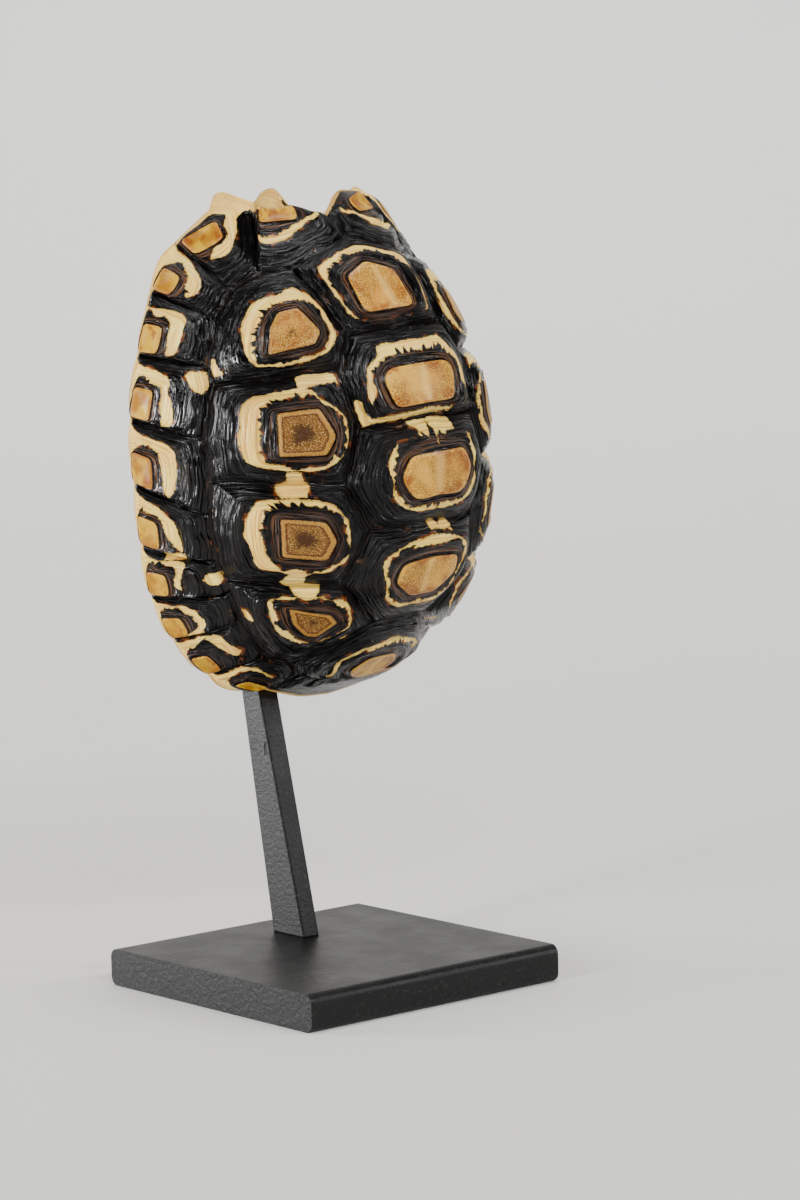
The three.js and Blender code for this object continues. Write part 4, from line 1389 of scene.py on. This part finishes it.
def steel_material(name):
    finish = Finish(name)
    place = finish.place()
    pits = finish.noise(place, 1100.0, 3.0, 0.65)
    clouds = finish.noise(place, 110.0, 3.0, 0.6)
    dust = finish.noise(place, 2600.0, 1.0, 0.5)
    black = with_alpha(bpy.context.scene.tortoise_stand.steel_colour)
    colour = finish.mix(finish.fade(pits, 0.56, 0.72, 0.0, 0.5), black, srgb(52, 50, 46))
    colour = finish.mix(finish.fade(dust, 0.74, 0.8, 0.0, 0.5), colour, srgb(120, 112, 98))
    from_gouge = finish.stretch(place, (1.0, 1.0, 1.0), [-c * MM for c in GOUGE])
    from_gouge = finish.stretch(from_gouge, (1.0, 1600.0, 1600.0))
    along = finish.node("ShaderNodeVectorRotate", {"Vector": from_gouge, "Angle": 0.7})
    across = finish.stretch(along.outputs["Vector"], (1.0, 1.0, 0.3))
    gouge = finish.node("ShaderNodeVectorMath", {0: across}, operation="LENGTH").outputs["Value"]
    gouge = finish.fade(gouge, 0.9, 0.2)
    height = finish.add(pits, finish.times(gouge, -2.0))
    normal = finish.bump(height, 0.5, 0.00022)
    finish.shader.inputs["Specular IOR Level"].default_value = 0.2
    roughness = finish.fade(clouds, 0.3, 0.7, 0.39, 0.45)
    return finish.finish(Base_Color=colour, Roughness=roughness, Normal=normal)


# ---- Settings -----------------------------------------------------------------------------


class ShellSettings(bpy.types.PropertyGroup):
    half_width: FloatProperty(
        name="Half width",
        description="From the midline to the side of the dome",
        default=0.0409,
        subtype="DISTANCE",
        unit="LENGTH",
    )
    half_length: FloatProperty(
        name="Half length",
        description="From the crown to either end of the dome",
        default=0.054,
        subtype="DISTANCE",
        unit="LENGTH",
    )
    dome_height: FloatProperty(
        name="Dome height",
        description="From the rim's plane to the crown, under the scutes",
        default=0.048,
        subtype="DISTANCE",
        unit="LENGTH",
    )
    bone_thickness: FloatProperty(
        name="Bone thickness",
        description="Thickness of the wall under the seams",
        default=0.0019,
        subtype="DISTANCE",
        unit="LENGTH",
    )
    areola_height: FloatProperty(
        name="Areola height",
        description="How far the young centre of a large scute stands over the dome",
        default=0.0028,
        subtype="DISTANCE",
        unit="LENGTH",
    )
    pale_colour: FloatVectorProperty(
        name="Pale bands",
        description="Colour of the pale growth bands",
        default=srgb(246, 212, 100)[:3],
        subtype="COLOR",
        min=0.0,
        max=1.0,
    )
    dark_colour: FloatVectorProperty(
        name="Dark horn",
        description="Colour of the dark growth",
        default=srgb(5, 4, 4)[:3],
        subtype="COLOR",
        min=0.0,
        max=1.0,
    )
    areola_colour: FloatVectorProperty(
        name="Areolae",
        description="Colour of the young centres of the scutes",
        default=srgb(216, 162, 54)[:3],
        subtype="COLOR",
        min=0.0,
        max=1.0,
    )
    bone_colour: FloatVectorProperty(
        name="Bone",
        description="Colour of the bare bone",
        default=srgb(242, 200, 108)[:3],
        subtype="COLOR",
        min=0.0,
        max=1.0,
    )


class StandSettings(bpy.types.PropertyGroup):
    steel_colour: FloatVectorProperty(
        name="Blackened steel",
        description="Colour of the post and the base",
        default=srgb(12, 12, 12)[:3],
        subtype="COLOR",
        min=0.0,
        max=1.0,
    )


class StudioSettings(bpy.types.PropertyGroup):
    floor_colour: FloatVectorProperty(
        name="Floor",
        description="Colour of the floor and the backdrop",
        default=(0.62, 0.61, 0.59),
        subtype="COLOR",
        min=0.0,
        max=1.0,
    )
    key_power: FloatProperty(
        name="Key light",
        description="Power of the long light overhead, which the others follow",
        default=15.0,
        min=0.0,
        unit="POWER",
    )
    lens: FloatProperty(
        name="Lens",
        description="Focal length on a frame 36 mm high",
        default=120.0,
        unit="CAMERA",
    )


# ---- Operators ----------------------------------------------------------------------------


def show(data, name, materials):
    made = bpy.data.objects.new(name, data)
    bpy.context.scene.collection.objects.link(made)
    for material in materials:
        data.materials.append(material)
    return made


class TORTOISE_OT_shell(bpy.types.Operator):
    """Builds the shell with its scutes, growth ridges and bony rim."""

    bl_idname = "tortoise.shell"
    bl_label = "Shell"

    def execute(self, context):
        data = mesh_from(gather_shell(), "shell_grown")
        shell = show(data, "shell_grown", [horn_material(), inner_bone_material()])
        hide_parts("shell")
        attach(shell, "root")
        return {"FINISHED"}


class TORTOISE_OT_stand(bpy.types.Operator):
    """Gives the post and the base plate their blackened steel."""

    bl_idname = "tortoise.stand"
    bl_label = "Stand"

    def execute(self, context):
        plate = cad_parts["base_plate"]
        plate.data.materials.clear()
        plate.data.materials.append(steel_material("blackened_plate"))
        post = show(post_mesh(), "post_bar", [steel_material("blackened_post")])
        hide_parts("post")
        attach(post, "root")
        return {"FINISHED"}


PIECE_MIDDLE = (0.012, 0.012, 0.1)


def area_light(name, place, width, height, power, target=PIECE_MIDDLE, spread=180.0):
    data = bpy.data.lights.new(name, "AREA")
    data.shape = "RECTANGLE"
    data.size = width
    data.size_y = height
    data.energy = power
    data.spread = math.radians(spread)
    lamp = bpy.data.objects.new(name, data)
    bpy.context.scene.collection.objects.link(lamp)
    lamp.location = place
    aim = Vector(target) - Vector(place)
    lamp.rotation_euler = aim.to_track_quat("-Z", "Y").to_euler()


CAMERA = {
    "azimuth": -40.385,
    "elevation": 6.913,
    "roll": -1.361,
    "distance": 831.85,
    "aside": 15.557,
    "raised": 79.293,
}


def add_camera(lens):
    azimuth = math.radians(CAMERA["azimuth"])
    elevation = math.radians(CAMERA["elevation"])
    roll = math.radians(CAMERA["roll"])
    back = Vector(
        (
            math.sin(azimuth) * math.cos(elevation),
            -math.cos(azimuth) * math.cos(elevation),
            math.sin(elevation),
        )
    )
    right = Vector((math.cos(azimuth), math.sin(azimuth), 0.0))
    up = back.cross(right)
    place = back * CAMERA["distance"] + right * CAMERA["aside"] + up * CAMERA["raised"]
    turned_right = right * math.cos(roll) + up * math.sin(roll)
    turned_up = up * math.cos(roll) - right * math.sin(roll)
    data = bpy.data.cameras.new("camera")
    data.lens = lens
    data.sensor_fit = "VERTICAL"
    data.sensor_height = 36.0
    data.clip_start = 0.01
    data.clip_end = 50.0
    camera = bpy.data.objects.new("camera", data)
    bpy.context.scene.collection.objects.link(camera)
    rotation = Matrix((turned_right, turned_up, back)).transposed().to_4x4()
    camera.matrix_world = Matrix.Translation(place * MM) @ rotation
    bpy.context.scene.camera = camera


def floor_material():
    finish = Finish("studio_floor")
    cloud = finish.noise(finish.place(), 6.0, 3.0, 0.5)
    base = with_alpha(bpy.context.scene.tortoise_studio.floor_colour)
    colour = finish.mix(finish.fade(cloud, 0.3, 0.7, 0.0, 0.06), base, (0.5, 0.5, 0.5, 1.0))
    return finish.finish(Base_Color=colour, Roughness=0.75)


def sweep_mesh():
    """A floor that rises behind the piece into a backdrop in one curve."""
    azimuth = math.radians(CAMERA["azimuth"])
    away = Vector((-math.sin(azimuth), math.cos(azimuth)))
    aside = Vector((away.y, -away.x))
    flat = 1.1
    radius = 0.9
    tall = 4.0
    half = 5.0
    profile = [(-tall, 0.0), (flat, 0.0)]
    for step in range(1, 25):
        turn = step / 24 * math.pi / 2
        profile.append((flat + radius * math.sin(turn), radius * (1 - math.cos(turn))))
    profile.append((flat + radius, tall))
    points = []
    faces = []
    for k, (back, up) in enumerate(profile):
        for side in (-half, half):
            spot = away * back + aside * side
            points.append((spot.x, spot.y, up))
        if k:
            faces.append((2 * k - 2, 2 * k, 2 * k + 1, 2 * k - 1))
    data = bpy.data.meshes.new("studio_floor")
    data.from_pydata(points, [], faces)
    data.polygons.foreach_set("use_smooth", np.ones(len(faces), bool))
    return data


class TORTOISE_OT_studio(bpy.types.Operator):
    """Lays the floor and sets the lights and the camera."""

    bl_idname = "tortoise.studio"
    bl_label = "Studio"

    def execute(self, context):
        studio = context.scene.tortoise_studio
        floor = show(sweep_mesh(), "studio_floor", [floor_material()])
        key = studio.key_power
        area_light("high_strip", (-0.3, -1.0, 0.8), 1.2, 0.05, key)
        area_light("left_strip", (-1.05, -0.15, 0.3), 0.05, 0.9, key * 0.7)
        area_light("right_strip", (0.72, -0.8, 0.45), 0.06, 0.5, key * 0.4)
        area_light("side_strip", (-0.75, 0.85, 0.12), 0.2, 0.4, key * 1.5)
        area_light("backdrop", (0.5, 0.4, 2.6), 1.6, 1.6, key * 3.0, (1.0, 1.2, 0.3), 100.0)
        world = context.scene.world or bpy.data.worlds.new("studio")
        context.scene.world = world
        world.use_nodes = True
        background = world.node_tree.nodes["Background"]
        background.inputs["Color"].default_value = (0.85, 0.87, 0.9, 1.0)
        background.inputs["Strength"].default_value = 0.06
        add_camera(studio.lens)
        return {"FINISHED"}


class TORTOISE_PT_panel(bpy.types.Panel):
    """Lists the settings and the pieces."""

    bl_idname = "TORTOISE_PT_panel"
    bl_label = "Tortoise Shell"
    bl_space_type = "VIEW_3D"
    bl_region_type = "UI"
    bl_category = "Tortoise Shell"

    def draw(self, context):
        scene = context.scene
        for settings in (scene.tortoise_shell, scene.tortoise_stand, scene.tortoise_studio):
            box = self.layout.box()
            for name in settings.__annotations__:
                box.prop(settings, name)
        for operator in (TORTOISE_OT_shell, TORTOISE_OT_stand, TORTOISE_OT_studio):
            self.layout.operator(operator.bl_idname)


CLASSES = (
    ShellSettings,
    StandSettings,
    StudioSettings,
    TORTOISE_OT_shell,
    TORTOISE_OT_stand,
    TORTOISE_OT_studio,
    TORTOISE_PT_panel,
)


def register():
    for item in CLASSES:
        bpy.utils.register_class(item)
    bpy.types.Scene.tortoise_shell = PointerProperty(type=ShellSettings)
    bpy.types.Scene.tortoise_stand = PointerProperty(type=StandSettings)
    bpy.types.Scene.tortoise_studio = PointerProperty(type=StudioSettings)


def unregister():
    del bpy.types.Scene.tortoise_studio
    del bpy.types.Scene.tortoise_stand
    del bpy.types.Scene.tortoise_shell
    for item in reversed(CLASSES):
        bpy.utils.unregister_class(item)


def main():
    register()
    bpy.ops.tortoise.shell()
    bpy.ops.tortoise.stand()
    bpy.ops.tortoise.studio()


if __name__ == "__main__":
    main()
